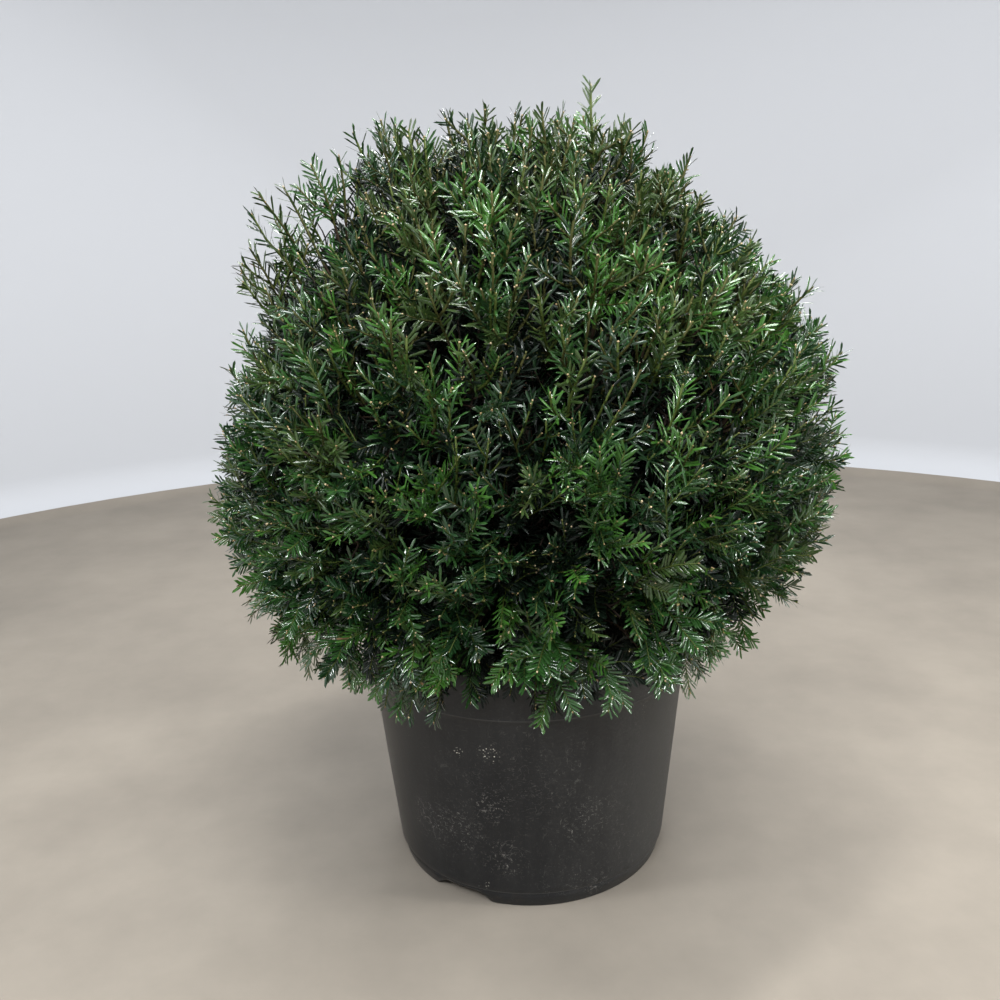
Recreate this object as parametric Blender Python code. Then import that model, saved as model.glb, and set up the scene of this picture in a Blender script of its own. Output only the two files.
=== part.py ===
# English yew, a round bush grown in a black nursery container.
# Metres, +Z up. The origin is the middle of the container's underside and the front faces -Y.
# Bearings are degrees from the front round towards +X, rises are degrees above the level.

import math

import bmesh
import bpy
import numpy as np
from mathutils import Matrix, Vector

# Container
RIM_RADIUS = 0.210
POT_HEIGHT = 0.325
BAND_DEPTH = 0.054          # upright wall between the rim and the mould line
BAND_STEP = 0.0008          # how far the wall steps in under the mould line
SEAM_RADIUS = 0.183
SEAM_HEIGHT = 0.022         # top of the foot ring
FOOT_RADIUS = 0.1815        # of the foot ring under the seam
TOE_RADIUS = 0.1765         # of the foot ring where it stands
FOOT_WIDTH = 0.018
WALL = 0.003
EDGE = 0.001                # small bevels on the rim and foot
FLOOR_LIFT = 0.016          # underside of the floor above the ground
DRAIN_FIRST = -32.0         # bearing of the middle of the first drain gap in the foot ring
DRAIN_COUNT = 3
DRAIN_SPREAD = 22.0         # degrees that a gap takes of the ring
DRAIN_HEIGHT = 0.015
DRAIN_FACETS = 3
POT_SIDES = 48

# Compost
COMPOST_TOP = 0.290
COMPOST_RINGS = (0.150, 0.105, 0.060)   # radii of the uneven rings, the last one bounds the flat seat
COMPOST_ROUGH = 0.005
GAP = 0.0003                # between pieces that touch
SMOOTH_ANGLE = math.radians(40)

# Trunk
TRUNK_TIP = 0.655
TRUNK_FOOT_RADIUS = 0.019
TRUNK_TIP_RADIUS = 0.0075
TRUNK_SWAY = (0.006, 0.004)             # how far the trunk wanders along X and Y
FLARE_HEIGHT = 0.022
FLARE_SPREAD = 0.013
FLARE_LEAST = 0.35          # share of the spread between the lobes
FLARE_LOBES = 5
TRUNK_SIDES = 12
TRUNK_RINGS = 13
TRUNK_CROWDING = 1.4        # crowds the rings towards the flare

# Crown: half an egg above its middle and half a bowl below it
CROWN_MIDDLE = 0.535
CROWN_RADIUS = 0.372
CROWN_RISE = 0.402
CROWN_DROP = 0.320
# Bulges and hollows of the outline: bearing, rise, share of the reach, spread in degrees
CROWN_LUMPS = (
    (-96, -36, 0.18, 14),
    (-95, 68, 0.09, 15),
    (-92, 46, 0.08, 14),
    (-93, 17, -0.04, 10),
    (-88, -6, 0.04, 14),
    (88, 57, -0.03, 12),
    (90, 14, 0.04, 15),
    (94, -36, -0.06, 8),
    (84, -52, 0.08, 10),
    (20, -46, 0.07, 16),
    (-28, -45, 0.06, 14),
    (168, 30, -0.05, 16),
    (205, -5, 0.03, 18),
    (150, -40, 0.06, 14),
)

# Foliage masses: name, bearing, rise
MASSES = (
    ("foliage_top", 0, 90),
    ("foliage_upper_front_left", -36, 38),
    ("foliage_upper_front_right", 36, 38),
    ("foliage_upper_right", 108, 38),
    ("foliage_upper_back", 180, 38),
    ("foliage_upper_left", -108, 38),
    ("foliage_lower_front", 0, -14),
    ("foliage_lower_front_right", 60, -14),
    ("foliage_lower_back_right", 120, -14),
    ("foliage_lower_back", 180, -14),
    ("foliage_lower_back_left", -120, -14),
    ("foliage_lower_front_left", -60, -14),
)
CORE_SHARE = 0.86           # of the reach
CORE_LUMPS = 0.035          # how uneven it is, of the reach
CORE_LUMP_PITCH = 13.0      # waves of that over a turn
CORE_LUMP_SHIFTS = (0.0, 2.0, 4.0)
CORE_INNER = 0.135          # inner face, from the crown's middle
CORE_MARGIN = 0.006         # to the border with the next mass
CORE_FLOOR = 0.340
CORE_ROUNDING = 0.009
CORE_CENTRE_LIFT = 0.060    # least height of a core's centre over that floor
CORE_MOST = 0.4             # no core reaches this far from its centre
CORE_HALVINGS = 24          # of that distance, to find the surface
CORE_SIDES = 14
CORE_RINGS = 9

# Boughs: where the lower and the upper ring leave the trunk, and how they taper
LOWER_BOUGH_FOOT = 0.362
UPPER_BOUGH_FOOT = 0.450
BOUGH_STAGGER = 0.018
BOUGH_LEVELS = 5
BOUGH_RADIUS = 0.0072
BOUGH_TIP_RADIUS = 0.0042
BOUGH_SIDES = 8
BOUGH_RINGS = 6
BOUGH_RISE = 48             # at which a bough leaves the trunk
STEM_REACH = 0.060          # how far a mass's stem runs into its core
STEM_BARE = 0.012           # and how much of it shows before the core
STEM_TAPER = 0.7
STEM_RINGS = 4

# Twigs and sprays
TWIG_COUNT = 56
TWIG_DEPTH = 0.95           # share of the reach at which twigs end
TWIG_RADIUS = 0.0026
TWIG_TAPER = 0.45
TWIG_STEPS = 25             # points along a twig's curve
TWIG_STRIDE = 6             # of which each sixth carries a ring
SPRAY_COUNT = 172
SPRAY_LENGTH = (0.065, 0.090)
SPRAY_WIDTH = 0.040
SPRAY_THICKNESS = 0.0030
SPRAY_STEPS = 24            # points along the curve from a spray's parent to its tip
SPRAY_TEETH = 3
TOOTH_SHARES = (0.80, 1.0, 0.82)        # reach of the teeth, of half the width
TOOTH_LEAN = 0.95           # how far forward a tooth points, in pitches
NOTCH_SHARE = 0.17          # half width between teeth, of the width
SHANK_SHARE = 0.09
TEETH_END = 0.90            # share of the blade where the last tooth ends
RIDGE_AT = 0.4              # midrib points, in pitches from the notch behind them
MOST_NEEDLED = 0.80         # of a spray's length
SPRAY_SINK = 0.012          # depth in the core from which a shank starts
ROOT_SCATTER = 0.0004       # so that no two sprays start at one point
SPRAY_SPREAD = (0.01, 0.09)            # of the reach, over which spray tips are spread
SPRAY_FACING = 0.6          # how much the sprays' flat sides turn upwards
SPRAY_ROLL = 0.35
LEADER = (72, 80, 1.13)    # the tallest shoot: bearing, rise, share of the reach
DRAW_IN = 0.13              # sprays lean towards the middle of their mass, so that they keep to it
CELL_MARGIN = 0.0012        # sprays keep this far from the border of their mass
POT_MARGIN = 0.005          # and this far from the container
JITTER = 0.05               # of the golden spirals that spread twigs and sprays
LIFT = 0.62                 # upward share of the growth, at its most
LIFT_PEAK = 0.25            # height of a unit direction at which it is
LIFT_SPREAD = 0.75          # and how far either side it dies out
DROOP = 0.12                # downward share everywhere
SKIRT_TOP = -0.40           # height of a unit direction below which shoots hang
SKIRT_HANG = 5.0            # how fast the downward share grows under it
FORWARD = 0.75              # cosine below which a twig pays for leaving its parent sideways
FORWARD_COST = 1.5
CURVE = 0.35                # reach of a curve's handles, of its length
SEED = 7

MIDDLE = np.array((0.0, 0.0, CROWN_MIDDLE))
RING_START = (0.31, 0.95, 0.02)         # a way that no limb sets off along


def clear_scene():
    for item in list(bpy.data.objects):
        bpy.data.objects.remove(item, do_unlink=True)


def make_material(name, colour, roughness, metallic=0.0):
    material = bpy.data.materials.new(name)
    material.use_nodes = True
    shader = material.node_tree.nodes["Principled BSDF"]
    shader.inputs["Base Color"].default_value = (*colour, 1.0)
    shader.inputs["Roughness"].default_value = roughness
    shader.inputs["Metallic"].default_value = metallic
    material.diffuse_color = (*colour, 1.0)
    return material


def unit(vector):
    return vector / np.linalg.norm(vector)


def direction(bearing, rise):
    b, r = math.radians(bearing), math.radians(rise)
    return np.array((math.sin(b) * math.cos(r), -math.cos(b) * math.cos(r), math.sin(r)))


# ---- small mesh helpers ----

def mesh_object(name, bm, material, smooth=False):
    mesh = bpy.data.meshes.new(name)
    bm.to_mesh(mesh)
    bm.free()
    if smooth:
        mesh.shade_smooth()
        mesh.set_sharp_from_angle(angle=SMOOTH_ANGLE)
    item = bpy.data.objects.new(name, mesh)
    item.data.materials.append(material)
    bpy.context.scene.collection.objects.link(item)
    return item


def turn(profile, sides):
    # Closed surface turned about Z from a profile of radius and height.
    bm = bmesh.new()
    verts = [bm.verts.new((radius, 0.0, height)) for radius, height in profile]
    edges = [bm.edges.new(pair) for pair in zip(verts, verts[1:])]
    if profile[0][0] > 0.0:
        edges.append(bm.edges.new((verts[-1], verts[0])))
    bmesh.ops.spin(bm, geom=verts + edges, axis=(0, 0, 1), cent=(0, 0, 0), angle=math.tau, steps=sides)
    bmesh.ops.remove_doubles(bm, verts=bm.verts, dist=1e-5)
    bmesh.ops.recalc_face_normals(bm, faces=bm.faces)
    return bm


def loft(rings):
    # Closed tube through rings of points, with flat ends.
    bm = bmesh.new()
    loops = [[bm.verts.new(point) for point in ring] for ring in rings]
    sides = len(loops[0])
    for lower, upper in zip(loops, loops[1:]):
        for k in range(sides):
            n = (k + 1) % sides
            bm.faces.new((lower[k], lower[n], upper[n], upper[k]))
    bm.faces.new(loops[0][::-1])
    bm.faces.new(loops[-1])
    bmesh.ops.recalc_face_normals(bm, faces=bm.faces)
    return bm


def tube_rings(path, radii, sides, set_off=None, arrive=None):
    # Rings square to the path, carried along it without twist. The end rings can be given their own ways.
    tangents = np.gradient(path, axis=0)
    tangents[0] = tangents[0] if set_off is None else set_off
    tangents[-1] = tangents[-1] if arrive is None else arrive
    across = unit(np.cross(tangents[0], RING_START))
    angles = np.arange(sides) * math.tau / sides
    rings = []
    for point, tangent, radius in zip(path, tangents, radii):
        along = unit(tangent)
        across = unit(across - along * (across @ along))
        other = np.cross(along, across)
        rings.append(point + radius * (np.outer(np.cos(angles), across) + np.outer(np.sin(angles), other)))
    return rings


def bezier(start, set_off, arrive, end, count):
    # Curve that leaves along set_off and comes in along arrive.
    length = np.linalg.norm(end - start)
    first = start + set_off * length * CURVE
    last = end - arrive * length * CURVE
    t = np.linspace(0.0, 1.0, count)[:, None]
    return (1 - t) ** 3 * start + 3 * (1 - t) ** 2 * t * first + 3 * (1 - t) * t ** 2 * last + t ** 3 * end


# ---- the crown's rule ----

def crown_reach(ways):
    # Distance from the crown's middle to its outline, for each unit direction.
    level = np.hypot(ways[:, 0], ways[:, 1]) / CROWN_RADIUS
    upright = np.abs(ways[:, 2]) / np.where(ways[:, 2] > 0, CROWN_RISE, CROWN_DROP)
    reach = 1.0 / np.hypot(level, upright)
    share = np.ones(len(ways))
    for bearing, rise, gain, spread in CROWN_LUMPS:
        apart = np.degrees(np.arccos(np.clip(ways @ direction(bearing, rise), -1.0, 1.0)))
        share += gain * np.exp(-((apart / spread) ** 2))
    return reach * share


def growth_way(way):
    # Shoots grow outwards, lifted most a little above the crown's middle. The skirt hangs over the rim.
    off = min(1.0, abs(way[2] - LIFT_PEAK) / LIFT_SPREAD)
    hang = max(0.0, SKIRT_TOP - way[2]) * SKIRT_HANG
    lift = LIFT * math.cos(math.pi / 2 * off) - DROOP - hang
    return unit(way + np.array((0.0, 0.0, lift)))


def spread_ways(count, seed):
    # Directions spread evenly over the sphere on a golden spiral, then jittered.
    random = np.random.default_rng(seed)
    k = np.arange(count) + 0.5
    height = 1.0 - 2.0 * k / count
    turn_angle = k * math.pi * (3.0 - math.sqrt(5.0))
    level = np.sqrt(1.0 - height ** 2)
    ways = np.stack((level * np.cos(turn_angle), level * np.sin(turn_angle), height), axis=1)
    ways += random.normal(0.0, JITTER, ways.shape)
    return ways / np.linalg.norm(ways, axis=1)[:, None]


MASS_WAYS = np.array([direction(bearing, rise) for _, bearing, rise in MASSES])


def owner(ways):
    return np.argmax(ways @ MASS_WAYS.T, axis=1)


def border_distance(points, mass):
    # Distance inside the planes that part this mass from the others.
    normals = MASS_WAYS[mass] - np.delete(MASS_WAYS, mass, axis=0)
    normals /= np.linalg.norm(normals, axis=1)[:, None]
    return ((points - MIDDLE) @ normals.T).min(axis=1)


def clear_of_pot(points):
    radius = np.hypot(points[:, 0], points[:, 1])
    beside = radius > RIM_RADIUS + POT_MARGIN
    above = points[:, 2] > POT_HEIGHT + POT_MARGIN
    return bool(np.all(beside | above))


def fits(points, mass):
    return border_distance(points, mass).min() > CELL_MARGIN and clear_of_pot(points)


def core_depth(points, mass):
    # Depth inside a core, with its corners rounded: positive within.
    offset = points - MIDDLE
    distance = np.linalg.norm(offset, axis=1)
    ways = offset / distance[:, None]
    waves = np.sin(CORE_LUMP_PITCH * ways + np.array(CORE_LUMP_SHIFTS))
    lumps = CORE_LUMPS * waves[:, 0] * waves[:, 1] + CORE_LUMPS * waves[:, 1] * waves[:, 2]
    depths = np.stack((
        (CORE_SHARE + lumps) * crown_reach(ways) - distance,
        border_distance(points, mass) - CORE_MARGIN,
        offset @ MASS_WAYS[mass] - CORE_INNER,
        points[:, 2] - CORE_FLOOR,
    ))
    return -CORE_ROUNDING * np.log(np.exp(-depths / CORE_ROUNDING).sum(axis=0))


def core_centre(mass):
    way = MASS_WAYS[mass]
    outer = CORE_SHARE * crown_reach(way[None])[0]
    centre = MIDDLE + way * (CORE_INNER + outer) / 2
    centre[2] = max(centre[2], CORE_FLOOR + CORE_CENTRE_LIFT)
    return centre


# ---- container and compost ----

def inner_radius(height):
    # Inside of the wall: it widens evenly from the seam to the mould line, then stands upright.
    band = POT_HEIGHT - BAND_DEPTH
    share = min(1.0, max(0.0, (height - SEAM_HEIGHT) / (band - SEAM_HEIGHT)))
    return SEAM_RADIUS + share * (RIM_RADIUS - BAND_STEP - SEAM_RADIUS) - WALL


def build_pot(material):
    band = POT_HEIGHT - BAND_DEPTH
    floor = FLOOR_LIFT + WALL
    profile = (
        (0.0, FLOOR_LIFT),
        (FOOT_RADIUS - FOOT_WIDTH, FLOOR_LIFT),
        (FOOT_RADIUS - FOOT_WIDTH, 0.0),
        (TOE_RADIUS - EDGE, 0.0),
        (TOE_RADIUS, EDGE),
        (FOOT_RADIUS, SEAM_HEIGHT - EDGE),
        (SEAM_RADIUS, SEAM_HEIGHT),
        (RIM_RADIUS - BAND_STEP, band),
        (RIM_RADIUS, band + EDGE),
        (RIM_RADIUS, POT_HEIGHT - EDGE),
        (RIM_RADIUS - EDGE, POT_HEIGHT),
        (RIM_RADIUS - WALL, POT_HEIGHT),
        (RIM_RADIUS - BAND_STEP - WALL, band),
        (SEAM_RADIUS - WALL, SEAM_HEIGHT),
        (SEAM_RADIUS - WALL, floor),
        (0.0, floor),
    )
    pot = mesh_object("pot", turn(profile, POT_SIDES), material, smooth=True)
    cutters = bpy.data.collections.new("drain_gap_cutters")
    bpy.context.scene.collection.children.link(cutters)
    for k in range(DRAIN_COUNT):
        cutters.objects.link(build_drain_cutter(k))
    cut = pot.modifiers.new("drain_gaps", "BOOLEAN")
    cut.operation = "DIFFERENCE"
    cut.operand_type = "COLLECTION"
    cut.collection = cutters
    return pot


def build_drain_cutter(index):
    # a sector of a flat ring that takes in the foot ring's whole width
    first = DRAIN_FIRST - DRAIN_SPREAD / 2 + index * 360.0 / DRAIN_COUNT
    bm = bmesh.new()
    rows = []
    for k in range(DRAIN_FACETS + 1):
        bearing = math.radians(first + DRAIN_SPREAD * k / DRAIN_FACETS)
        rows.append([
            bm.verts.new((radius * math.sin(bearing), -radius * math.cos(bearing), height))
            for radius, height in (
                (FOOT_RADIUS - 2 * FOOT_WIDTH, -DRAIN_HEIGHT),
                (FOOT_RADIUS + FOOT_WIDTH, -DRAIN_HEIGHT),
                (FOOT_RADIUS + FOOT_WIDTH, DRAIN_HEIGHT),
                (FOOT_RADIUS - 2 * FOOT_WIDTH, DRAIN_HEIGHT),
            )
        ])
    for row, after in zip(rows, rows[1:]):
        for k in range(4):
            bm.faces.new((row[k], row[(k + 1) % 4], after[(k + 1) % 4], after[k]))
    bm.faces.new(rows[0][::-1])
    bm.faces.new(rows[-1])
    bmesh.ops.recalc_face_normals(bm, faces=bm.faces)
    mesh = bpy.data.meshes.new("drain_gap_cutter")
    bm.to_mesh(mesh)
    bm.free()
    cutter = bpy.data.objects.new(f"drain_gap_cutter_{index + 1}", mesh)
    cutter.hide_render = True
    cutter.display_type = "WIRE"
    return cutter


def build_compost(material):
    floor = FLOOR_LIFT + WALL
    low = floor + GAP
    profile = [
        (0.0, low),
        (SEAM_RADIUS - WALL - GAP, low),
        (SEAM_RADIUS - WALL - GAP, SEAM_HEIGHT),
        (inner_radius(POT_HEIGHT - BAND_DEPTH) - GAP, POT_HEIGHT - BAND_DEPTH),
        (inner_radius(COMPOST_TOP) - GAP, COMPOST_TOP),
    ]
    profile += [(radius, COMPOST_TOP) for radius in COMPOST_RINGS]
    profile.append((0.0, COMPOST_TOP))
    bm = turn(profile, POT_SIDES)
    random = np.random.default_rng(SEED)
    for vert in bm.verts:
        radius = math.hypot(vert.co.x, vert.co.y)
        if vert.co.z > COMPOST_TOP - EDGE and COMPOST_RINGS[-1] + EDGE < radius < COMPOST_RINGS[0] + EDGE:
            vert.co.z += random.uniform(-COMPOST_ROUGH, COMPOST_ROUGH)
    return mesh_object("compost", bm, material)


# ---- trunk and boughs ----

def trunk_axis(height):
    share = (height - COMPOST_TOP) / (TRUNK_TIP - COMPOST_TOP)
    sway = math.sin(math.pi * share)
    return np.array((TRUNK_SWAY[0] * sway, TRUNK_SWAY[1] * sway * math.cos(math.pi * share), height))


def trunk_radius(height, lobe=1.0):
    # Even taper, with a lobed flare that dies out above the foot.
    share = (height - COMPOST_TOP) / (TRUNK_TIP - COMPOST_TOP)
    flare = FLARE_SPREAD * math.exp(-(height - COMPOST_TOP) / FLARE_HEIGHT)
    taper = TRUNK_FOOT_RADIUS + share * (TRUNK_TIP_RADIUS - TRUNK_FOOT_RADIUS)
    return taper + flare * (FLARE_LEAST + (1.0 - FLARE_LEAST) * lobe)


def build_trunk(material):
    foot = COMPOST_TOP + GAP
    steps = np.linspace(0.0, 1.0, TRUNK_RINGS) ** TRUNK_CROWDING
    angles = np.arange(TRUNK_SIDES) * math.tau / TRUNK_SIDES
    lobes = (1.0 + np.cos(FLARE_LOBES * angles)) / 2
    rings = []
    for height in foot + steps * (TRUNK_TIP - foot):
        radii = trunk_radius(height, lobes)
        ring = np.stack((radii * np.cos(angles), radii * np.sin(angles), np.zeros(TRUNK_SIDES)), axis=1)
        rings.append(ring + trunk_axis(height))
    return mesh_object("trunk", loft(rings), material, smooth=True)


def bough_foot(index):
    # Neighbouring boughs leave the trunk at staggered heights.
    base = UPPER_BOUGH_FOOT if MASSES[index][2] > 0 else LOWER_BOUGH_FOOT
    return base + index * 2 % BOUGH_LEVELS * BOUGH_STAGGER


def bough_tip(index):
    return MIDDLE + MASS_WAYS[index] * (CORE_INNER - STEM_BARE)


def bough_path(index):
    # From the trunk's side, rising steeply, to the inner face of its mass.
    bearing = MASSES[index][1]
    outward = direction(bearing, 0)
    height = bough_foot(index)
    heights = height + np.linspace(-2.0, 2.0, BOUGH_SIDES) * BOUGH_RADIUS
    seat = max(trunk_axis(h) @ outward + trunk_radius(h) for h in heights) + GAP
    start = trunk_axis(height)
    start = start + outward * (seat - start @ outward)
    set_off = direction(bearing, BOUGH_RISE)
    return bezier(start, set_off, MASS_WAYS[index], bough_tip(index), BOUGH_RINGS), outward, seat


def build_bough(index, material):
    path, outward, seat = bough_path(index)
    radii = np.linspace(BOUGH_RADIUS, BOUGH_TIP_RADIUS, BOUGH_RINGS)
    rings = tube_rings(path, radii, BOUGH_SIDES, arrive=MASS_WAYS[index])
    along = unit(path[1] - path[0])
    short = (seat - rings[0] @ outward) / (along @ outward)
    rings[0] = rings[0] + np.outer(short, along)
    name = MASSES[index][0].replace("foliage", "bough")
    return mesh_object(name, loft(rings), material, smooth=True)


# ---- foliage ----

def build_core(mass):
    centre = core_centre(mass)
    turned = Vector(MASS_WAYS[mass]).to_track_quat("Z", "Y").to_matrix().to_4x4()
    bm = bmesh.new()
    bmesh.ops.create_uvsphere(bm, u_segments=CORE_SIDES, v_segments=CORE_RINGS, radius=1.0, matrix=turned)
    ways = np.array([vert.co[:] for vert in bm.verts])
    near = np.zeros(len(ways))
    far = np.full(len(ways), CORE_MOST)
    for _ in range(CORE_HALVINGS):
        half = (near + far) / 2
        inside = core_depth(centre + ways * half[:, None], mass) > 0
        near = np.where(inside, half, near)
        far = np.where(inside, far, half)
    for vert, way, distance in zip(bm.verts, ways, near):
        vert.co = centre + way * distance
    return bm


def on_trunk(mass):
    # The mass straight above the trunk has no bough.
    return MASSES[mass][2] == 90


def stem_path(mass):
    way = MASS_WAYS[mass]
    start = trunk_axis(TRUNK_TIP) if on_trunk(mass) else bough_tip(mass)
    end = MIDDLE + way * (CORE_INNER + STEM_REACH)
    return bezier(start + way * GAP, way, way, end, STEM_RINGS)


def stem_radius(mass):
    return TRUNK_TIP_RADIUS if on_trunk(mass) else BOUGH_TIP_RADIUS


def join(target, nodes, tangents):
    # The parent point of a twig: the nearest one that the twig can leave forwards.
    offset = target - nodes
    distance = np.linalg.norm(offset, axis=1)
    forward = (offset * tangents).sum(axis=1) / distance
    cost = distance * (1.0 + FORWARD_COST * np.clip(FORWARD - forward, 0.0, None))
    return int(np.argmin(cost))


def twig_paths(mass):
    stem = stem_path(mass)
    nodes = stem[1:]
    tangents = np.gradient(stem, axis=0)[1:]
    tangents /= np.linalg.norm(tangents, axis=1)[:, None]
    ways = spread_ways(TWIG_COUNT, SEED + 1)
    ways = ways[owner(ways) == mass]
    tips = MIDDLE + ways * (TWIG_DEPTH * crown_reach(ways))[:, None]
    paths = []
    for way, tip in zip(ways, tips):
        parent = join(tip, nodes, tangents)
        path = bezier(nodes[parent], tangents[parent], growth_way(way), tip, TWIG_STEPS)
        if fits(path, mass):
            paths.append(path[::TWIG_STRIDE])
    return paths


def spray_blade(root, base, tip, facing):
    # Slim shank from the root to the base, then a thin blade with needle teeth on both sides to the tip.
    along = unit(tip - base)
    normal = unit(facing - along * (along @ facing))
    side_way = np.cross(along, normal)
    length = np.linalg.norm(tip - base)
    thick = SPRAY_THICKNESS / 2
    bm = bmesh.new()

    def add(share, out, up):
        return bm.verts.new(base + along * (share * length) + side_way * out + normal * up)

    pitch = TEETH_END / SPRAY_TEETH
    end = bm.verts.new(tip)
    upper = [bm.verts.new(root + normal * thick)]
    lower = [bm.verts.new(root - normal * thick)]
    for k in range(SPRAY_TEETH):
        share = pitch * (k + RIDGE_AT)
        upper.append(add(share, 0.0, thick * (1.0 - share / 2)))
        lower.append(add(share, 0.0, -thick * (1.0 - share / 2)))
    outs = [SHANK_SHARE] + [NOTCH_SHARE] * (SPRAY_TEETH - 1) + [SHANK_SHARE]
    for side in (1, -1):
        start = bm.verts.new(root + side_way * (side * thick))
        notches = [add(pitch * k, side * out * SPRAY_WIDTH, 0.0) for k, out in enumerate(outs)]
        teeth = [add(pitch * (k + TOOTH_LEAN), side * out * SPRAY_WIDTH / 2, 0.0)
                 for k, out in enumerate(TOOTH_SHARES)]
        for row in (upper, lower):
            faces = [(row[0], start, notches[0]), (row[0], notches[0], row[1])]
            for k in range(SPRAY_TEETH):
                after = row[k + 2] if k + 2 < len(row) else end
                faces.append((row[k + 1], notches[k], teeth[k]))
                faces.append((row[k + 1], teeth[k], notches[k + 1]))
                faces.append((row[k + 1], notches[k + 1], after))
            for face in faces:
                bm.faces.new(face)
        bm.faces.new((upper[0], lower[0], start))
    bmesh.ops.recalc_face_normals(bm, faces=bm.faces)
    return bm


def spray_paths(mass, twigs, random):
    # Each spray joins the nearest twig, or the stem, and starts there or where it is well inside the core.
    stem = stem_path(mass)
    parents = [path[1:-1] for path in twigs] + [stem[1:]]
    nodes = np.vstack(parents)
    tangents = np.vstack([np.gradient(path, axis=0) for path in parents])
    tangents /= np.linalg.norm(tangents, axis=1)[:, None]
    ways = spread_ways(SPRAY_COUNT, SEED + 2)
    ways = (1.0 - DRAW_IN) * ways[owner(ways) == mass] + DRAW_IN * MASS_WAYS[mass]
    ways /= np.linalg.norm(ways, axis=1)[:, None]
    shares = 1.0 + random.uniform(*SPRAY_SPREAD, len(ways))
    if on_trunk(mass):
        ways = np.vstack((ways, direction(*LEADER[:2])))
        shares = np.append(shares, LEADER[2])
    tips = MIDDLE + ways * (shares * crown_reach(ways))[:, None]
    for way, tip in zip(ways, tips):
        parent = join(tip, nodes, tangents)
        start = nodes[parent] + random.normal(0.0, ROOT_SCATTER, 3)
        path = bezier(start, tangents[parent], growth_way(way), tip, SPRAY_STEPS)
        sunk = core_depth(path, mass) > SPRAY_SINK
        first = len(path) - 1 - int(np.argmax(sunk[::-1])) if sunk.any() else 0
        yield way, path[first:]


def build_spray(mass, way, path, random):
    # The needled length is straight and the shank runs back from it to the path's start.
    # A spray that would leave its mass or touch the container is left out.
    steps = np.linalg.norm(np.diff(path, axis=0), axis=1)
    from_tip = np.append(np.cumsum(steps[::-1])[::-1], 0.0)
    needled = min(random.uniform(*SPRAY_LENGTH), MOST_NEEDLED * from_tip[0])
    root, tip = path[0], path[-1]
    base = path[int(np.argmin(np.abs(from_tip - needled)))]
    facing = way + np.array((0.0, 0.0, SPRAY_FACING)) + random.normal(0.0, SPRAY_ROLL, 3)
    blade = spray_blade(root, base, tip, facing)
    spine = np.vstack((np.linspace(root, base, SPRAY_STEPS), np.linspace(base, tip, SPRAY_STEPS)))
    outline = np.array([vert.co[:] for vert in blade.verts])
    if fits(np.vstack((spine, outline)), mass):
        return blade
    blade.free()
    return None


def bm_object(bm, name):
    mesh = bpy.data.meshes.new(name)
    bm.to_mesh(mesh)
    bm.free()
    return bpy.data.objects.new(name, mesh)


def build_mass(index, material):
    name = MASSES[index][0]
    random = np.random.default_rng((SEED, index))
    pieces = bpy.data.collections.new(f"{name}_pieces")
    bpy.context.scene.collection.children.link(pieces)
    stem = stem_path(index)
    radii = np.linspace(1.0, STEM_TAPER, len(stem)) * stem_radius(index)
    rings = tube_rings(stem, radii, BOUGH_SIDES, set_off=MASS_WAYS[index])
    pieces.objects.link(bm_object(loft(rings), f"{name}_stem"))
    twigs = twig_paths(index)
    for k, path in enumerate(twigs):
        radii = np.linspace(1.0, TWIG_TAPER, len(path)) * TWIG_RADIUS
        pieces.objects.link(bm_object(loft(tube_rings(path, radii, 3)), f"{name}_twig_{k}"))
    for k, (way, path) in enumerate(spray_paths(index, twigs, random)):
        blade = build_spray(index, way, path, random)
        if blade:
            pieces.objects.link(bm_object(blade, f"{name}_spray_{k}"))
    mass = mesh_object(name, build_core(index), material)
    join_pieces(mass, pieces)
    return mass


def join_pieces(mass, pieces):
    # One union of the core with everything that grows from it.
    core = mass.data
    union = mass.modifiers.new("join", "BOOLEAN")
    union.operation = "UNION"
    union.operand_type = "COLLECTION"
    union.collection = pieces
    for solver in ("EXACT", "MANIFOLD"):
        union.solver = solver
        graph = bpy.context.evaluated_depsgraph_get()
        joined = bpy.data.meshes.new_from_object(mass.evaluated_get(graph))
        if keep_largest_shell(joined):
            break
    mass.modifiers.clear()
    mass.data = joined
    joined.name = mass.name
    bpy.data.meshes.remove(core)
    for item in list(pieces.objects):
        bpy.data.objects.remove(item, do_unlink=True)
    bpy.data.collections.remove(pieces)


def keep_largest_shell(mesh):
    # Drops loose scraps and fills sealed hollows, and tells whether what stays is one closed surface.
    bm = bmesh.new()
    bm.from_mesh(mesh)
    left = set(bm.faces)
    shells = []
    while left:
        shell = [left.pop()]
        for face in shell:
            near = {other for edge in face.edges for other in edge.link_faces if other in left}
            left -= near
            shell.extend(near)
        shells.append(shell)
    shells.sort(key=len)
    for shell in shells[:-1]:
        bmesh.ops.delete(bm, geom=shell, context="FACES")
    bmesh.ops.triangulate(bm, faces=bm.faces)
    closed = all(edge.is_manifold for edge in bm.edges) and all(vert.is_manifold for vert in bm.verts)
    bm.to_mesh(mesh)
    bm.free()
    return closed


def place(item, origin, parent):
    # The object's own origin goes to a point of the object, under the plant's empty.
    item.data.transform(Matrix.Translation(-Vector(origin)))
    item.location = Vector(origin)
    item.parent = parent


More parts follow.
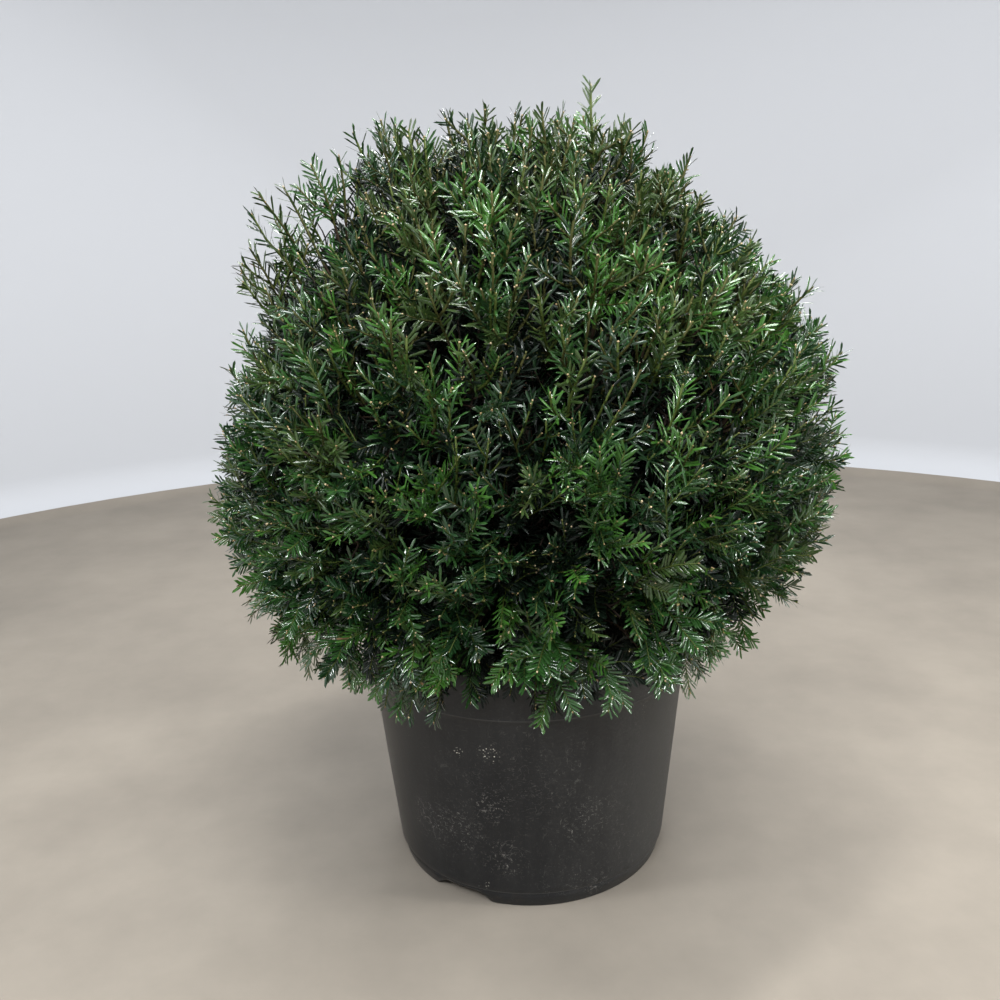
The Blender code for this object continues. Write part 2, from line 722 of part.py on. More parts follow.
def main():
    clear_scene()
    plant = bpy.data.objects.new("english_yew", None)
    bpy.context.scene.collection.objects.link(plant)
    plastic = make_material("black_plastic", (0.030, 0.030, 0.029), 0.45)
    compost = make_material("compost", (0.055, 0.036, 0.024), 0.95)
    bark = make_material("yew_bark", (0.120, 0.062, 0.038), 0.85)
    foliage = make_material("yew_needles", (0.022, 0.062, 0.016), 0.38)
    build_pot(plastic).parent = plant
    build_compost(compost).parent = plant
    place(build_trunk(bark), trunk_axis(COMPOST_TOP), plant)
    for index in range(len(MASSES)):
        if not on_trunk(index):
            place(build_bough(index, bark), trunk_axis(bough_foot(index)), plant)
        place(build_mass(index, foliage), core_centre(index), plant)


main()
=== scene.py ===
import math

import bpy
import numpy as np
from mathutils import Matrix


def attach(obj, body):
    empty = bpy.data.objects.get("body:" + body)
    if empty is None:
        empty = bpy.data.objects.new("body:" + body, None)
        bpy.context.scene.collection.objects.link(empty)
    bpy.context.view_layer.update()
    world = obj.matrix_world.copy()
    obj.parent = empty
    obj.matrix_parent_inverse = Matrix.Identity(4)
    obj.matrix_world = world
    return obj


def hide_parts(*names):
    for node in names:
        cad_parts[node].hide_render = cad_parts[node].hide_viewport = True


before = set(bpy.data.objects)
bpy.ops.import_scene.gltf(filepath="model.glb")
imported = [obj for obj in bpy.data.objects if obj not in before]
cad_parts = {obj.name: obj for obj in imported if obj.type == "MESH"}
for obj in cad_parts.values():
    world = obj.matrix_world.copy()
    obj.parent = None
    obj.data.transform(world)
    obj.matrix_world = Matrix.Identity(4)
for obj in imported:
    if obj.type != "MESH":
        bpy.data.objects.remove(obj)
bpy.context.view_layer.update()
print("frame loaded:", len(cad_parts), "nodes")

# English yew clipped to a ball, in a black container. Metres, +Z up, front faces -Y.
# Bearings are degrees from the front towards +X, rises are degrees above the level.

# what shapes the whole crown
crown = {
    "middle": 0.535,  # height of its middle
    "radius": 0.372,  # reach from there in the level, upwards and downwards
    "rise": 0.402,
    "drop": 0.320,
    "lumps": (  # bearing, rise, share of the reach, spread in degrees
        (-96, -36, 0.18, 14), (-95, 68, 0.09, 15), (-92, 46, 0.08, 14), (-93, 17, -0.04, 10),
        (-88, -6, 0.04, 14), (88, 57, -0.03, 12), (90, 14, 0.04, 15), (94, -36, -0.06, 8),
        (84, -52, 0.08, 10), (20, -46, 0.07, 16), (-28, -45, 0.06, 14), (168, 30, -0.05, 16),
        (205, -5, 0.03, 18), (150, -40, 0.06, 14),
    ),
    "tiers": {  # rise of each tier's masses, and their bearings
        "upper": (38, {"front_left": -36, "front_right": 36, "right": 108, "back": 180, "left": -108}),
        "lower": (-14, {"front": 0, "front_right": 60, "back_right": 120, "back": 180, "back_left": -120,
                        "front_left": -60}),
    },
    "lift": 0.62,  # upward share of the growth, at its most
    "liftPeak": 0.25,  # height of a unit way at which it is
    "liftSpread": 0.75,  # and how far either side it dies out
    "droop": 0.12,  # downward share everywhere
    "skirtTop": -0.40,  # below this height of a unit way shoots hang
    "skirtHang": 5.0,
    "forward": 0.75,  # cosine off its parent within which a limb leaves freely
    "turnCost": 1.5,  # what each unit less adds to the distance
    "seed": 7,
}
middle = np.array((0.0, 0.0, crown["middle"]))
masses = [("foliage_top", 0, 90)] + [(f"foliage_{tier}_{side}", bearing, rise)
                                     for tier, (rise, sides) in crown["tiers"].items()
                                     for side, bearing in sides.items()]
seamWay = np.array((0.31, 0.95, 0.02))  # a tube's rings start on the side nearest to this way


# Arrays of points and ways

def unitRows(rows):
    # each row over its own length
    return rows / np.linalg.norm(rows, axis=-1, keepdims=True)


def wayOf(bearing, rise):
    # unit way: sine and cosine of the bearing in the level, sine of the rise upwards
    b, r = np.radians(bearing), np.radians(rise)
    return np.stack((np.sin(b) * np.cos(r), -np.cos(b) * np.cos(r), np.sin(r)), axis=-1)


def levelPlace(radius, theta):
    # x and y at a radius and a bearing in radians
    return radius * np.sin(theta), -radius * np.cos(theta)


def turns(count):
    # even bearings all round, in radians
    return np.arange(count) * math.tau / count


def aroundZ(radius, height, theta):
    # points of a profile carried round Z
    return np.stack((*levelPlace(radius, theta), height * np.ones_like(theta)), axis=-1)


def dot(a, b):
    return (a * b).sum(axis=-1, keepdims=True)


def across(rows, ways):
    # the part of each row square to its way, made a unit
    return unitRows(rows - dot(rows, ways) * ways)


def between(pair, share):
    return pair[0] + (pair[1] - pair[0]) * share


def smoothStep(x, low, high):
    # 3 t^2 - 2 t^3 of the share of the way from low to high
    t = np.clip((x - low) / (high - low), 0.0, 1.0)
    return t * t * (3.0 - 2.0 * t)


def latticeNoise(points, seed):
    # value noise: seeded numbers at the corners of the unit cell around a point, blended by smooth steps
    cell = np.floor(points).astype(np.int64)
    part = points - cell
    part = part * part * (3.0 - 2.0 * part)
    total = np.zeros(len(points))
    for corner in np.array([(a, b, c) for a in (0, 1) for b in (0, 1) for c in (0, 1)]):
        key = (cell + corner) @ np.array((7919, 104729, 1299709)) + seed * 15485863
        value = np.modf(np.sin((key % 99991) * 12.9898) * 43758.5453)[0]
        total += value * np.where(corner, part, 1.0 - part).prod(axis=1)
    return total


def layeredNoise(points, seed, layers):
    # each layer is twice as fine and half as strong as the one before
    return sum(latticeNoise(points * 2.0 ** k, seed + k) / 2.0 ** k for k in range(layers))


# The crown's rule, the same as the solids grow by

def lumpAt(ways, bearing, rise, spread):
    # Gaussian of the angle off a bearing and rise
    apart = np.degrees(np.arccos(np.clip(ways @ wayOf(bearing, rise), -1.0, 1.0)))
    return np.exp(-((apart / spread) ** 2))


def crownReach(ways):
    # distance to the outline: an ellipse of radius and rise or drop, times one plus the lumps
    level = np.hypot(ways[:, 0], ways[:, 1]) / crown["radius"]
    upright = np.abs(ways[:, 2]) / np.where(ways[:, 2] > 0, crown["rise"], crown["drop"])
    share = np.ones(len(ways))
    for bearing, rise, gain, spread in crown["lumps"]:
        share += gain * lumpAt(ways, bearing, rise, spread)
    return share / np.hypot(level, upright)


def growthWays(ways):
    # outwards, plus a lift that is a cosine of the height, less an even droop and the skirt's hang
    off = np.minimum(1.0, np.abs(ways[:, 2] - crown["liftPeak"]) / crown["liftSpread"])
    hang = np.maximum(0.0, crown["skirtTop"] - ways[:, 2]) * crown["skirtHang"]
    lifted = ways.copy()
    lifted[:, 2] += crown["lift"] * np.cos(math.pi / 2 * off) - crown["droop"] - hang
    return unitRows(lifted)


def spreadWays(count, seed, jitter=0.05):
    # golden spiral over the sphere, then jittered
    random = np.random.default_rng(seed)
    k = np.arange(count) + 0.5
    height = 1.0 - 2.0 * k / count
    turn = k * math.pi * (3.0 - math.sqrt(5.0))
    level = np.sqrt(1.0 - height ** 2)
    ways = np.stack((level * np.cos(turn), level * np.sin(turn), height), axis=1)
    return unitRows(ways + random.normal(0.0, jitter, ways.shape))


massWays = np.array([wayOf(bearing, rise) for _, bearing, rise in masses])


def ownerOf(ways):
    # the mass whose own way is nearest
    return np.argmax(ways @ massWays.T, axis=1)


def ownWays(ways, mass):
    return ways[ownerOf(ways) == mass]


def bezierPoints(controls, t):
    # cubic curve through the first and last control, for controls of n rows and t of n rows by m
    t = t[..., None]
    p = controls[:, :, None, :]
    return ((1 - t) ** 3 * p[:, 0] + 3 * (1 - t) ** 2 * t * p[:, 1]
            + 3 * (1 - t) * t ** 2 * p[:, 2] + t ** 3 * p[:, 3])


def bezierWays(controls, t):
    # its unit tangents
    t = t[..., None]
    p = controls[:, :, None, :]
    return unitRows((1 - t) ** 2 * (p[:, 1] - p[:, 0]) + 2 * (1 - t) * t * (p[:, 2] - p[:, 1])
                    + t ** 2 * (p[:, 3] - p[:, 2]))


def curvesAt(controls, t):
    return bezierPoints(controls, t), bezierWays(controls, t)


def curveControls(start, setOff, arrive, end, reach=0.35):
    # leaves along setOff and comes in along arrive, with handles of reach times the length
    length = np.linalg.norm(end - start, axis=1)[:, None] * reach
    return np.stack((start, start + setOff * length, end - arrive * length, end), axis=1)


def evenSteps(controls, low, high, count):
    return np.broadcast_to(np.linspace(low, high, count), (len(controls), count))


def alongCurves(controls, low, high, count):
    # joints that finer growth can leave from: a place and a way at even steps of each curve
    steps = evenSteps(controls, low, high, count)
    return np.stack(curvesAt(controls, steps), axis=2).reshape(-1, 2, 3)


def joinNearest(targets, joints):
    # place and way of each target's parent: the nearest joint that it can leave forwards
    offset = targets[:, None] - joints[None, :, 0]
    distance = np.linalg.norm(offset, axis=2)
    forward = (offset * joints[None, :, 1]).sum(axis=2) / distance
    cost = 1.0 + crown["turnCost"] * np.clip(crown["forward"] - forward, 0.0, None)
    parent = joints[np.argmin(distance * cost, axis=1)]
    return parent[:, 0], parent[:, 1]


# Meshes from arrays

def makeMesh(name, points, faces, materials, tints=(), smooth=True, normals=None):
    # faces: list of arrays of n rows by k corners; tints: material numbers in the same order;
    # normals: one way for each point where the mesh stands for a rounder form
    mesh = bpy.data.meshes.new(name)
    corners = np.concatenate([block.ravel() for block in faces])
    sides = np.concatenate([np.full(len(block), block.shape[1]) for block in faces])
    mesh.vertices.add(len(points))
    mesh.vertices.foreach_set("co", np.asarray(points, np.float32).ravel())
    mesh.loops.add(len(corners))
    mesh.loops.foreach_set("vertex_index", corners.astype(np.int32))
    mesh.polygons.add(len(sides))
    mesh.polygons.foreach_set("loop_start", (np.cumsum(sides) - sides).astype(np.int32))
    mesh.polygons.foreach_set("use_smooth", np.full(len(sides), smooth))
    if tints:
        mesh.polygons.foreach_set("material_index", np.concatenate(tints).astype(np.int32))
    for material in materials:
        mesh.materials.append(material)
    mesh.update(calc_edges=True)
    if normals is not None:
        mesh.normals_split_custom_set_from_vertices(normals.astype(np.float32))
    item = bpy.data.objects.new(name, mesh)
    bpy.context.scene.collection.objects.link(item)
    return item


def makePiece(name, points, faces, materials, **settings):
    piece = makeMesh(name, points, faces, materials, **settings)
    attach(piece, "root")
    return piece


def stacked(parts):
    # joins parts of points, face blocks and tints, each part's corners moved past the points before it
    starts = np.cumsum([0] + [len(points) for points, _, _ in parts])
    faces = [block + start for start, (_, blocks, _) in zip(starts, parts) for block in blocks]
    tints = [tint for _, _, dealt in parts for tint in dealt]
    return np.vstack([points for points, _, _ in parts]), faces, tints


def gridFaces(rows, columns):
    # quads between neighbouring rows, round all columns
    start, this = np.meshgrid(np.arange(rows - 1) * columns, np.arange(columns), indexing="ij")
    after = (this + 1) % columns
    above = start + columns
    return np.stack((start + this, start + after, above + after, above + this), axis=-1).reshape(-1, 4)


def fanFaces(ring, pole):
    # triangles from a ring of points to one pole
    return np.stack((ring, np.roll(ring, -1), np.full(len(ring), pole)), axis=1)


def closedFaces(rows, columns):
    # a grid's quads and a fan at either end, to the two poles that come after its points
    ring = np.arange(columns)
    pole = rows * columns
    return [gridFaces(rows, columns), fanFaces(ring, pole)[:, ::-1],
            fanFaces(ring + pole - columns, pole + 1)]


def tubeGrid(paths, ways, radii, sides):
    # rings square to the ways: point plus radius times cosine across and sine beside
    first = across(np.broadcast_to(seamWay, ways.shape), ways)
    second = np.cross(ways, first)
    angle = turns(sides)
    ring = first[..., None, :] * np.cos(angle)[:, None] + second[..., None, :] * np.sin(angle)[:, None]
    return paths[..., None, :] + radii[..., None, None] * ring


# Material nodes

def addNode(tree, kind, sockets=None, **settings):
    # sockets: input name or number to a value, or to an output socket that is linked in
    node = tree.nodes.new("ShaderNode" + kind)
    for key, value in settings.items():
        setattr(node, key, value)
    for key, value in (sockets or {}).items():
        if isinstance(value, bpy.types.NodeSocket):
            tree.links.new(value, node.inputs[key])
        else:
            node.inputs[key].default_value = value
    return node


def shaderOf(material):
    return material.node_tree.nodes["Principled BSDF"]


def plainMaterial(name, colour, roughness, **sockets):
    material = bpy.data.materials.new(name)
    material.use_nodes = True
    shader = shaderOf(material)
    shader.inputs["Base Color"].default_value = (*colour, 1.0)
    shader.inputs["Roughness"].default_value = roughness
    for key, value in sockets.items():
        shader.inputs[key.replace("_", " ")].default_value = value
    return material


def dress(material, colour, relief=None, strength=0.0, distance=0.0):
    # a pattern on the base colour, and a noise's relief on the shader's own normal
    tree, shader = material.node_tree, shaderOf(material)
    tree.links.new(colour, shader.inputs["Base Color"])
    if relief is not None:
        bump = addNode(tree, "Bump", {"Strength": strength, "Distance": distance, "Height": relief})
        tree.links.new(bump.outputs[0], shader.inputs["Normal"])
    return material


def noiseOf(tree, scale, detail, roughness, stretch=(1, 1, 1), distortion=0.0):
    # noise on object coordinates, stretched
    place = addNode(tree, "TexCoord").outputs["Object"]
    place = addNode(tree, "Mapping", {"Vector": place, "Scale": stretch}).outputs[0]
    return addNode(tree, "TexNoise", {"Vector": place, "Scale": scale, "Detail": detail,
                                      "Roughness": roughness, "Distortion": distortion}).outputs["Fac"]


def remapped(tree, value, low, high, outLow=0.0, outHigh=1.0):
    return addNode(tree, "MapRange", {
        "Value": value, "From Min": low, "From Max": high, "To Min": outLow, "To Max": outHigh}).outputs[0]


def patternOf(tree, scale, detail, roughness, low, high, outLow=0.0, outHigh=1.0, **form):
    # a noise, of which low to high is spread from outLow to outHigh
    return remapped(tree, noiseOf(tree, scale, detail, roughness, **form), low, high, outLow, outHigh)


def mathOf(tree, operation, first, *others):
    # the operation carried along all the values
    for value in others:
        first = addNode(tree, "Math", {0: first, 1: value}, operation=operation).outputs[0]
    return first


def offFrom(tree, value, level):
    # how far a value is from a level, either way
    return mathOf(tree, "ABSOLUTE", mathOf(tree, "SUBTRACT", value, level), 0.0)


def mixColours(tree, share, first, second):
    node = addNode(tree, "Mix", {0: share}, data_type="RGBA")
    for socket, value in ((node.inputs[6], first), (node.inputs[7], second)):
        if isinstance(value, bpy.types.NodeSocket):
            tree.links.new(value, socket)
        else:
            socket.default_value = (*value, 1.0)
    return node.outputs[2]


pot = {
    "rimRadius": 0.210,
    "height": 0.325,
    "bandDepth": 0.054,
    "bandStep": 0.0008,
    "seamRadius": 0.183,
    "seamHeight": 0.022,
    "footRadius": 0.1815,  # of the foot ring under the seam
    "toeRadius": 0.1765,  # and where it stands
    "footWidth": 0.018,
    "wall": 0.003,
    "floorLift": 0.016,
    "floorRings": (0.030, 0.10),
    "ringTop": ((-0.0015, 0.0), (0.0, -0.0015)),  # roundings: out from a corner, and up from it
    "ringFoot": ((0.0, 0.0008), (0.0008, 0.0)),
    "toeRound": ((-0.0022, 0.0), (-0.0006, 0.0006), (0.0004, 0.0022)),
    "seamRound": ((0.0, -0.0022), (-0.0007, -0.0014), (-0.0006, -0.0006)),
    "wallFoot": ((-0.0003, 0.0),),
    "bandRound": ((-0.0002, -0.0005), (0.0002, 0.0003), (-0.0001, 0.0014)),
    "wallEnds": (0.0006, 0.0012),  # gaps that the seam's and the band's roundings take from the wall
    "wallRows": 40,
    "bandStart": 0.003,
    "bandRows": 7,
    "lipRows": 9,
    "innerBand": 0.02,
    "drainFirst": -32.0,  # bearing of the middle of the first drain gap in the foot ring
    "drainCount": 3,
    "drainSpread": 22.0,
    "drainHeight": 0.015,
    "drainRamp": 4.5,  # degrees over which its ends rise, either side of its edge
    "columns": 480,
    "outOfRound": 0.0005,
    "roundFrom": 0.15,  # radius past which the wall is out of round, and past which it is dented
    "dentFrom": 0.18,
    "dentRadius": 0.195,
    "dents": (  # bearing, height, size, depth
        (6.5, 0.062, 0.006, 0.0007), (-24, 0.14, 0.030, -0.0005), (30, 0.11, 0.045, 0.0006),
        (140, 0.17, 0.030, 0.0007), (215, 0.08, 0.040, 0.0006), (-80, 0.20, 0.035, 0.0006),
    ),
    "plastic": (0.0058, 0.0068, 0.0084),
    "dust": (0.090, 0.089, 0.084),
    "scratch": (0.25, 0.24, 0.22),
    "lime": (0.60, 0.57, 0.50),
    "soil": (0.034, 0.026, 0.020),
    "film": (7.0, 5.0, 0.6, 0.40, 0.72, 0.0, 0.09),  # scale, detail, roughness, low, high and what they give
    "grain": (260.0, 3.0, 0.7, 0.35, 0.75, 0.6, 1.4),
    # upright dust streaks, which also paint a soft vertical sheen
    "streaksAndSheen": (30.0, 4.0, 0.6, 0.45, 0.75, 0.0, 0.09),
    "scuffs": (8.0, 3.0, 0.55, 0.45, 0.65, 0.10, 0.45),
    "ticks": (150.0, 2.0, 0.6, 0.67, 0.74, 0.0, 0.6),
    "soiled": (70.0, 6.0, 0.7, 0.50, 0.64),
    "splashed": (16.0, 4.0, 0.65, 0.64, 0.78, 0.0, 0.4),
    "speckled": (420.0, 1.0, 0.55, 0.48, 0.60),
    "paintedSheenSide": ((0.07, 0.17, 0.44), (-0.01, 0.02, 0.04)),  # from and to along X, and how much of the dust's colour it adds there as painted sheen
    "ledges": (0.0010, 0.0016),  # reach of the dust on the band's step and on the seam
    "splashes": (  # places of lime splashes on the wall, and their size
        ((-0.089, -0.183, 0.220), 0.009),
        ((-0.053, -0.197, 0.225), 0.016),
        ((-0.066, -0.172, 0.031), 0.010),
        ((0.011, -0.187, 0.067), 0.003),
    ),
    "rubs": (  # places where the wall is scratched, and their size
        ((-0.099, -0.165, 0.107), 0.040),
        ((-0.038, -0.185, 0.075), 0.038),
        ((-0.138, -0.133, 0.107), 0.030),
        ((-0.050, -0.190, 0.150), 0.030),
        ((0.066, -0.182, 0.123), 0.040),
        ((0.080, -0.165, 0.026), 0.022),
        ((0.150, 0.120, 0.120), 0.050),
        ((-0.060, 0.185, 0.090), 0.050),
        ((-0.185, 0.050, 0.150), 0.040),
    ),
}


def drainShare(theta):
    # one inside a drain gap and nothing outside, by the angle from the nearest gap's middle
    step = 360.0 / pot["drainCount"]
    off = np.abs((np.degrees(theta) - pot["drainFirst"] + step / 2) % step - step / 2)
    return smoothStep(pot["drainSpread"] / 2 - off, -pot["drainRamp"], pot["drainRamp"])


def rounded(radius, height, steps):
    return [(radius + out, height + up) for out, up in steps]


def potProfile():
    # radius and height from the middle of the underside, out, up, over the rim and back in to the floor
    band, top, lift = pot["height"] - pot["bandDepth"], pot["height"], pot["floorLift"]
    rim, wall, foot, toe = pot["rimRadius"], pot["wall"], pot["footRadius"], pot["toeRadius"]
    seam, seamHeight = pot["seamRadius"], pot["seamHeight"]
    inner, lip = foot - pot["footWidth"], wall / 2
    up = np.linspace(0.0, 1.0, pot["wallRows"])
    side = seam + (rim - pot["bandStep"] - seam) * up
    turn = np.linspace(0.0, math.pi, pot["lipRows"])[1:]
    rows = [(radius, lift) for radius in pot["floorRings"]]
    rows += rounded(inner, lift, pot["ringTop"]) + rounded(inner, 0.0, pot["ringFoot"])
    rows += rounded(toe, 0.0, pot["toeRound"]) + [((toe + foot) / 2, seamHeight / 2)]
    rows += rounded(foot, seamHeight, pot["seamRound"]) + rounded(seam, seamHeight, pot["wallFoot"])
    rows += list(zip(side, between((seamHeight + pot["wallEnds"][0], band - pot["wallEnds"][1]), up)))
    rows += rounded(rim, band, pot["bandRound"])
    rows += [(rim, height) for height in np.linspace(band + pot["bandStart"], top - lip, pot["bandRows"])]
    rows += list(zip(rim - lip + lip * np.cos(turn), top - lip + lip * np.sin(turn)))
    rows += [(rim - wall, top - pot["innerBand"]), (rim - pot["bandStep"] - wall, band)]
    rows += list(zip((side - wall)[::-5], between((seamHeight, band), up)[::-5]))
    rows += [(radius, lift + wall) for radius in (seam - wall, *pot["floorRings"][::-1])]
    return np.array(rows)


def potRound(theta, height):
    # soft unevenness of the wall: two slow waves that die out at the foot
    wave = np.sin(2 * theta + 0.7) + 0.5 * np.sin(3 * theta + 2.0 + 9.0 * height)
    return pot["outOfRound"] * wave * smoothStep(height, 0.02, 0.2)


def buildPot():
    # profile carried round Z; the foot ring is lifted to each gap's roof; dents are Gaussians on the wall
    profile = potProfile()
    theta = turns(pot["columns"])
    radius = np.repeat(profile[:, :1], len(theta), axis=1)
    height = np.repeat(profile[:, 1:], len(theta), axis=1)
    ring = (radius > pot["footRadius"] - pot["footWidth"] - 0.002) & (height < pot["floorLift"])
    height = np.where(ring, np.maximum(height, pot["drainHeight"] * drainShare(theta)), height)
    radius = radius + potRound(theta, height) * (radius > pot["roundFrom"])
    for bearing, level, size, depth in pot["dents"]:
        along = np.abs((theta - math.radians(bearing) + math.pi) % math.tau - math.pi) * pot["dentRadius"]
        dent = np.exp(-((along ** 2 + (height - level) ** 2) / size ** 2))
        radius -= depth * dent * (radius > pot["dentFrom"])
    points = aroundZ(radius, height, theta).reshape(-1, 3)
    points = np.vstack((points, (0, 0, pot["floorLift"]), (0, 0, pot["floorLift"] + pot["wall"])))
    piece = makePiece("pot_shell", points, closedFaces(*radius.shape), [potMaterial()])
    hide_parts("pot")


def potMaterial():
    # satin black plastic: thin dust, a painted sheen in the dust's colour towards the right side, rubbed
    # marks, lime specks and soil at the foot
    material = plainMaterial("blackPlastic", pot["plastic"], 0.36, Specular_IOR_Level=0.36)
    tree = material.node_tree
    place = addNode(tree, "TexCoord").outputs["Object"]
    axes = addNode(tree, "SeparateXYZ", {0: place})
    height = axes.outputs["Z"]
    film = patternOf(tree, *pot["film"])
    # painted sheen: the right side, and faintly the right half, lightened with the dust's colour
    for start, end, share in pot["paintedSheenSide"]:
        film = mathOf(tree, "ADD", film, remapped(tree, axes.outputs["X"], start, end, 0.0, share))
    dustAndSheen = mathOf(tree, "MULTIPLY", film, patternOf(tree, *pot["grain"]))
    # upright streaks: dust, and a painted vertical sheen
    dustAndSheen = mathOf(tree, "ADD", dustAndSheen, patternOf(tree, *pot["streaksAndSheen"], stretch=(1, 1, 0.06)))
    for level, reach in zip((pot["height"] - pot["bandDepth"], pot["seamHeight"]), pot["ledges"]):
        # dust that lies along a step of the wall: most at its level, nothing beyond its reach
        ledge = remapped(tree, offFrom(tree, height, level), 0.0, reach, 0.55, 0.0)
        dustAndSheen = mathOf(tree, "ADD", dustAndSheen, ledge)
    colour = mixColours(tree, dustAndSheen, pot["plastic"], pot["dust"])
    rubbed = nearSpots(tree, place, pot["rubs"], patternOf(tree, *pot["scuffs"]))
    marks = [arcs(tree, 75.0, (1, 1, 1)), arcs(tree, 130.0, (1, 1, 2))]
    # short rubbed marks: the peaks of a fine stretched noise
    marks += [patternOf(tree, *pot["ticks"], stretch=stretch, distortion=0.8)
              for stretch in ((1, 1, 4.5), (2.5, 2.5, 0.8))]
    for mark in marks:
        colour = mixColours(tree, mathOf(tree, "MULTIPLY", mark, rubbed), colour, pot["scratch"])
    colour = mixColours(tree, limeSpecks(tree, place), colour, pot["lime"])
    low = remapped(tree, height, 0.030, 0.0, 0.0, 0.6)
    earth = mathOf(tree, "MULTIPLY", low, patternOf(tree, *pot["soiled"]))
    colour = mixColours(tree, earth, colour, pot["soil"])
    tree.links.new(remapped(tree, dustAndSheen, 0.0, 0.5, 0.32, 0.58), shaderOf(material).inputs["Roughness"])
    return dress(material, colour, noiseOf(tree, 150.0, 6.0, 0.6), 0.18, 0.0005)


def nearSpots(tree, place, spots, base):
    # a base share, plus one at the middle of each spot that dies out over its size
    for centre, size in spots:
        away = addNode(tree, "VectorMath", {0: place, 1: centre}, operation="DISTANCE")
        base = mathOf(tree, "ADD", base, remapped(tree, away.outputs["Value"], size, size * 0.3, 0.0, 1.0))
    return base


def arcs(tree, scale, stretch):
    # short curved scratches: thin level lines of a noise, broken up by a finer one
    off = offFrom(tree, noiseOf(tree, scale, 2.0, 0.6, stretch, 0.8), 0.5)
    broken = patternOf(tree, scale * 1.6, 1.0, 0.55, 0.52, 0.60, 0.0, 0.55)
    return mathOf(tree, "MULTIPLY", remapped(tree, off, 0.0, 0.016, 1.0, 0.0), broken)


def limeSpecks(tree, place):
    # small dots of a cell pattern, gathered in splashes
    cells = addNode(tree, "TexVoronoi", {"Vector": place, "Scale": 330.0, "Randomness": 1.0}, feature="F1")
    dots = remapped(tree, cells.outputs["Distance"], 0.26, 0.36, 1.0, 0.0)
    gathered = nearSpots(tree, place, pot["splashes"], patternOf(tree, *pot["splashed"]))
    return mathOf(tree, "MULTIPLY", dots, gathered, patternOf(tree, *pot["speckled"]))


compost = {
    "top": 0.290,
    "bottom": 0.0194,
    "clear": 0.0006,  # gap to the wall
    "sideLevels": (0.0194, 0.0225, 0.271, 0.283),
    "underRings": (0.05, 0.12),
    "rings": 90,
    "columns": 240,
    "mound": 0.004,
    "moundRadius": 0.09,
    "lumps": (45.0, 0.0028),  # how fine and how high
    "crumbs": (240.0, 0.0025),
    "chips": 1500,
    "chipLength": (0.003, 0.013),
    "chipWidth": (0.3, 0.7),  # shares of half the length
    "chipDepth": (0.12, 0.35),
    "grains": 130,
    "grainSize": (0.0007, 0.0014),
    "clump": 46,  # crumbs of one clump of earth caught on the rim
    "clumpBearing": 50.0,
    "clumpSpread": (0.0045, 0.0045, 0.0028),
    "clumpSize": (0.0012, 0.0034),
    "earth": (0.040, 0.026, 0.017),
    "dark": (0.012, 0.008, 0.006),
    "bark": (0.110, 0.062, 0.035),
    "chipTints": (  # colour and roughness
        ("chipDark", (0.030, 0.018, 0.012), 0.9),
        ("chipBrown", (0.075, 0.040, 0.022), 0.85),
        ("chipTan", (0.170, 0.105, 0.060), 0.8),
        ("gritPale", (0.52, 0.50, 0.46), 0.7),
    ),
}


def innerRadius(height):
    # of the pot's wall, by even taper from the seam to the band
    share = (height - pot["seamHeight"]) / (pot["height"] - pot["bandDepth"] - pot["seamHeight"])
    ends = pot["seamRadius"], pot["rimRadius"] - pot["bandStep"]
    return between(ends, np.clip(share, 0.0, 1.0)) - pot["wall"]


def compostTop(x, y):
    # crumbly surface: layered noise over a low mound
    points = np.stack((x, y, np.zeros_like(x)), axis=-1).reshape(-1, 3)
    (lumpScale, lumpHeight), (crumbScale, crumbHeight) = compost["lumps"], compost["crumbs"]
    lumps = layeredNoise(points * lumpScale, 11, 4).reshape(x.shape)
    crumbs = np.abs(layeredNoise(points * crumbScale, 31, 2)).reshape(x.shape)
    mound = compost["mound"] * np.exp(-((np.hypot(x, y) / compost["moundRadius"]) ** 2))
    return compost["top"] + mound + lumpHeight * lumps - crumbHeight * crumbs


def buildCompost():
    # polar grid on the top, closed by the side and the underside
    steps = np.linspace(0.0, 1.0, compost["rings"] + 1)[1:] ** 0.9
    theta = turns(compost["columns"])
    edge = innerRadius(compost["top"]) - compost["clear"]
    x, y = levelPlace((steps * edge)[::-1, None], theta)
    top = np.stack((x, y, compostTop(x, y)), axis=-1)
    levels = np.array(compost["sideLevels"])
    radius = np.concatenate((compost["underRings"], innerRadius(levels) - compost["clear"]))[:, None]
    height = np.concatenate((np.full(len(compost["underRings"]), compost["bottom"]), levels))[:, None]
    grid = np.vstack((aroundZ(radius, height, theta), top))
    poles = (0, 0, compost["bottom"]), (0, 0, compostTop(np.zeros(1), np.zeros(1))[0])
    points = np.vstack((grid.reshape(-1, 3), *poles))
    piece = makePiece("compost_bed", points, closedFaces(*grid.shape[:2]), [earthMaterial()])
    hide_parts("compost")


def earthMaterial():
    # dark moist earth with paler fibres
    material = plainMaterial("dampEarth", compost["earth"], 0.95)
    tree = material.node_tree
    moist = patternOf(tree, 90.0, 6.0, 0.7, 0.38, 0.62)
    fibre = patternOf(tree, 260.0, 3.0, 0.6, 0.62, 0.70, stretch=(1, 0.3, 1), distortion=1.5)
    earth = mixColours(tree, moist, compost["dark"], compost["earth"])
    colour = mixColours(tree, fibre, earth, compost["bark"])
    return dress(material, colour, noiseOf(tree, 500.0, 4.0, 0.7), 0.6, 0.001)


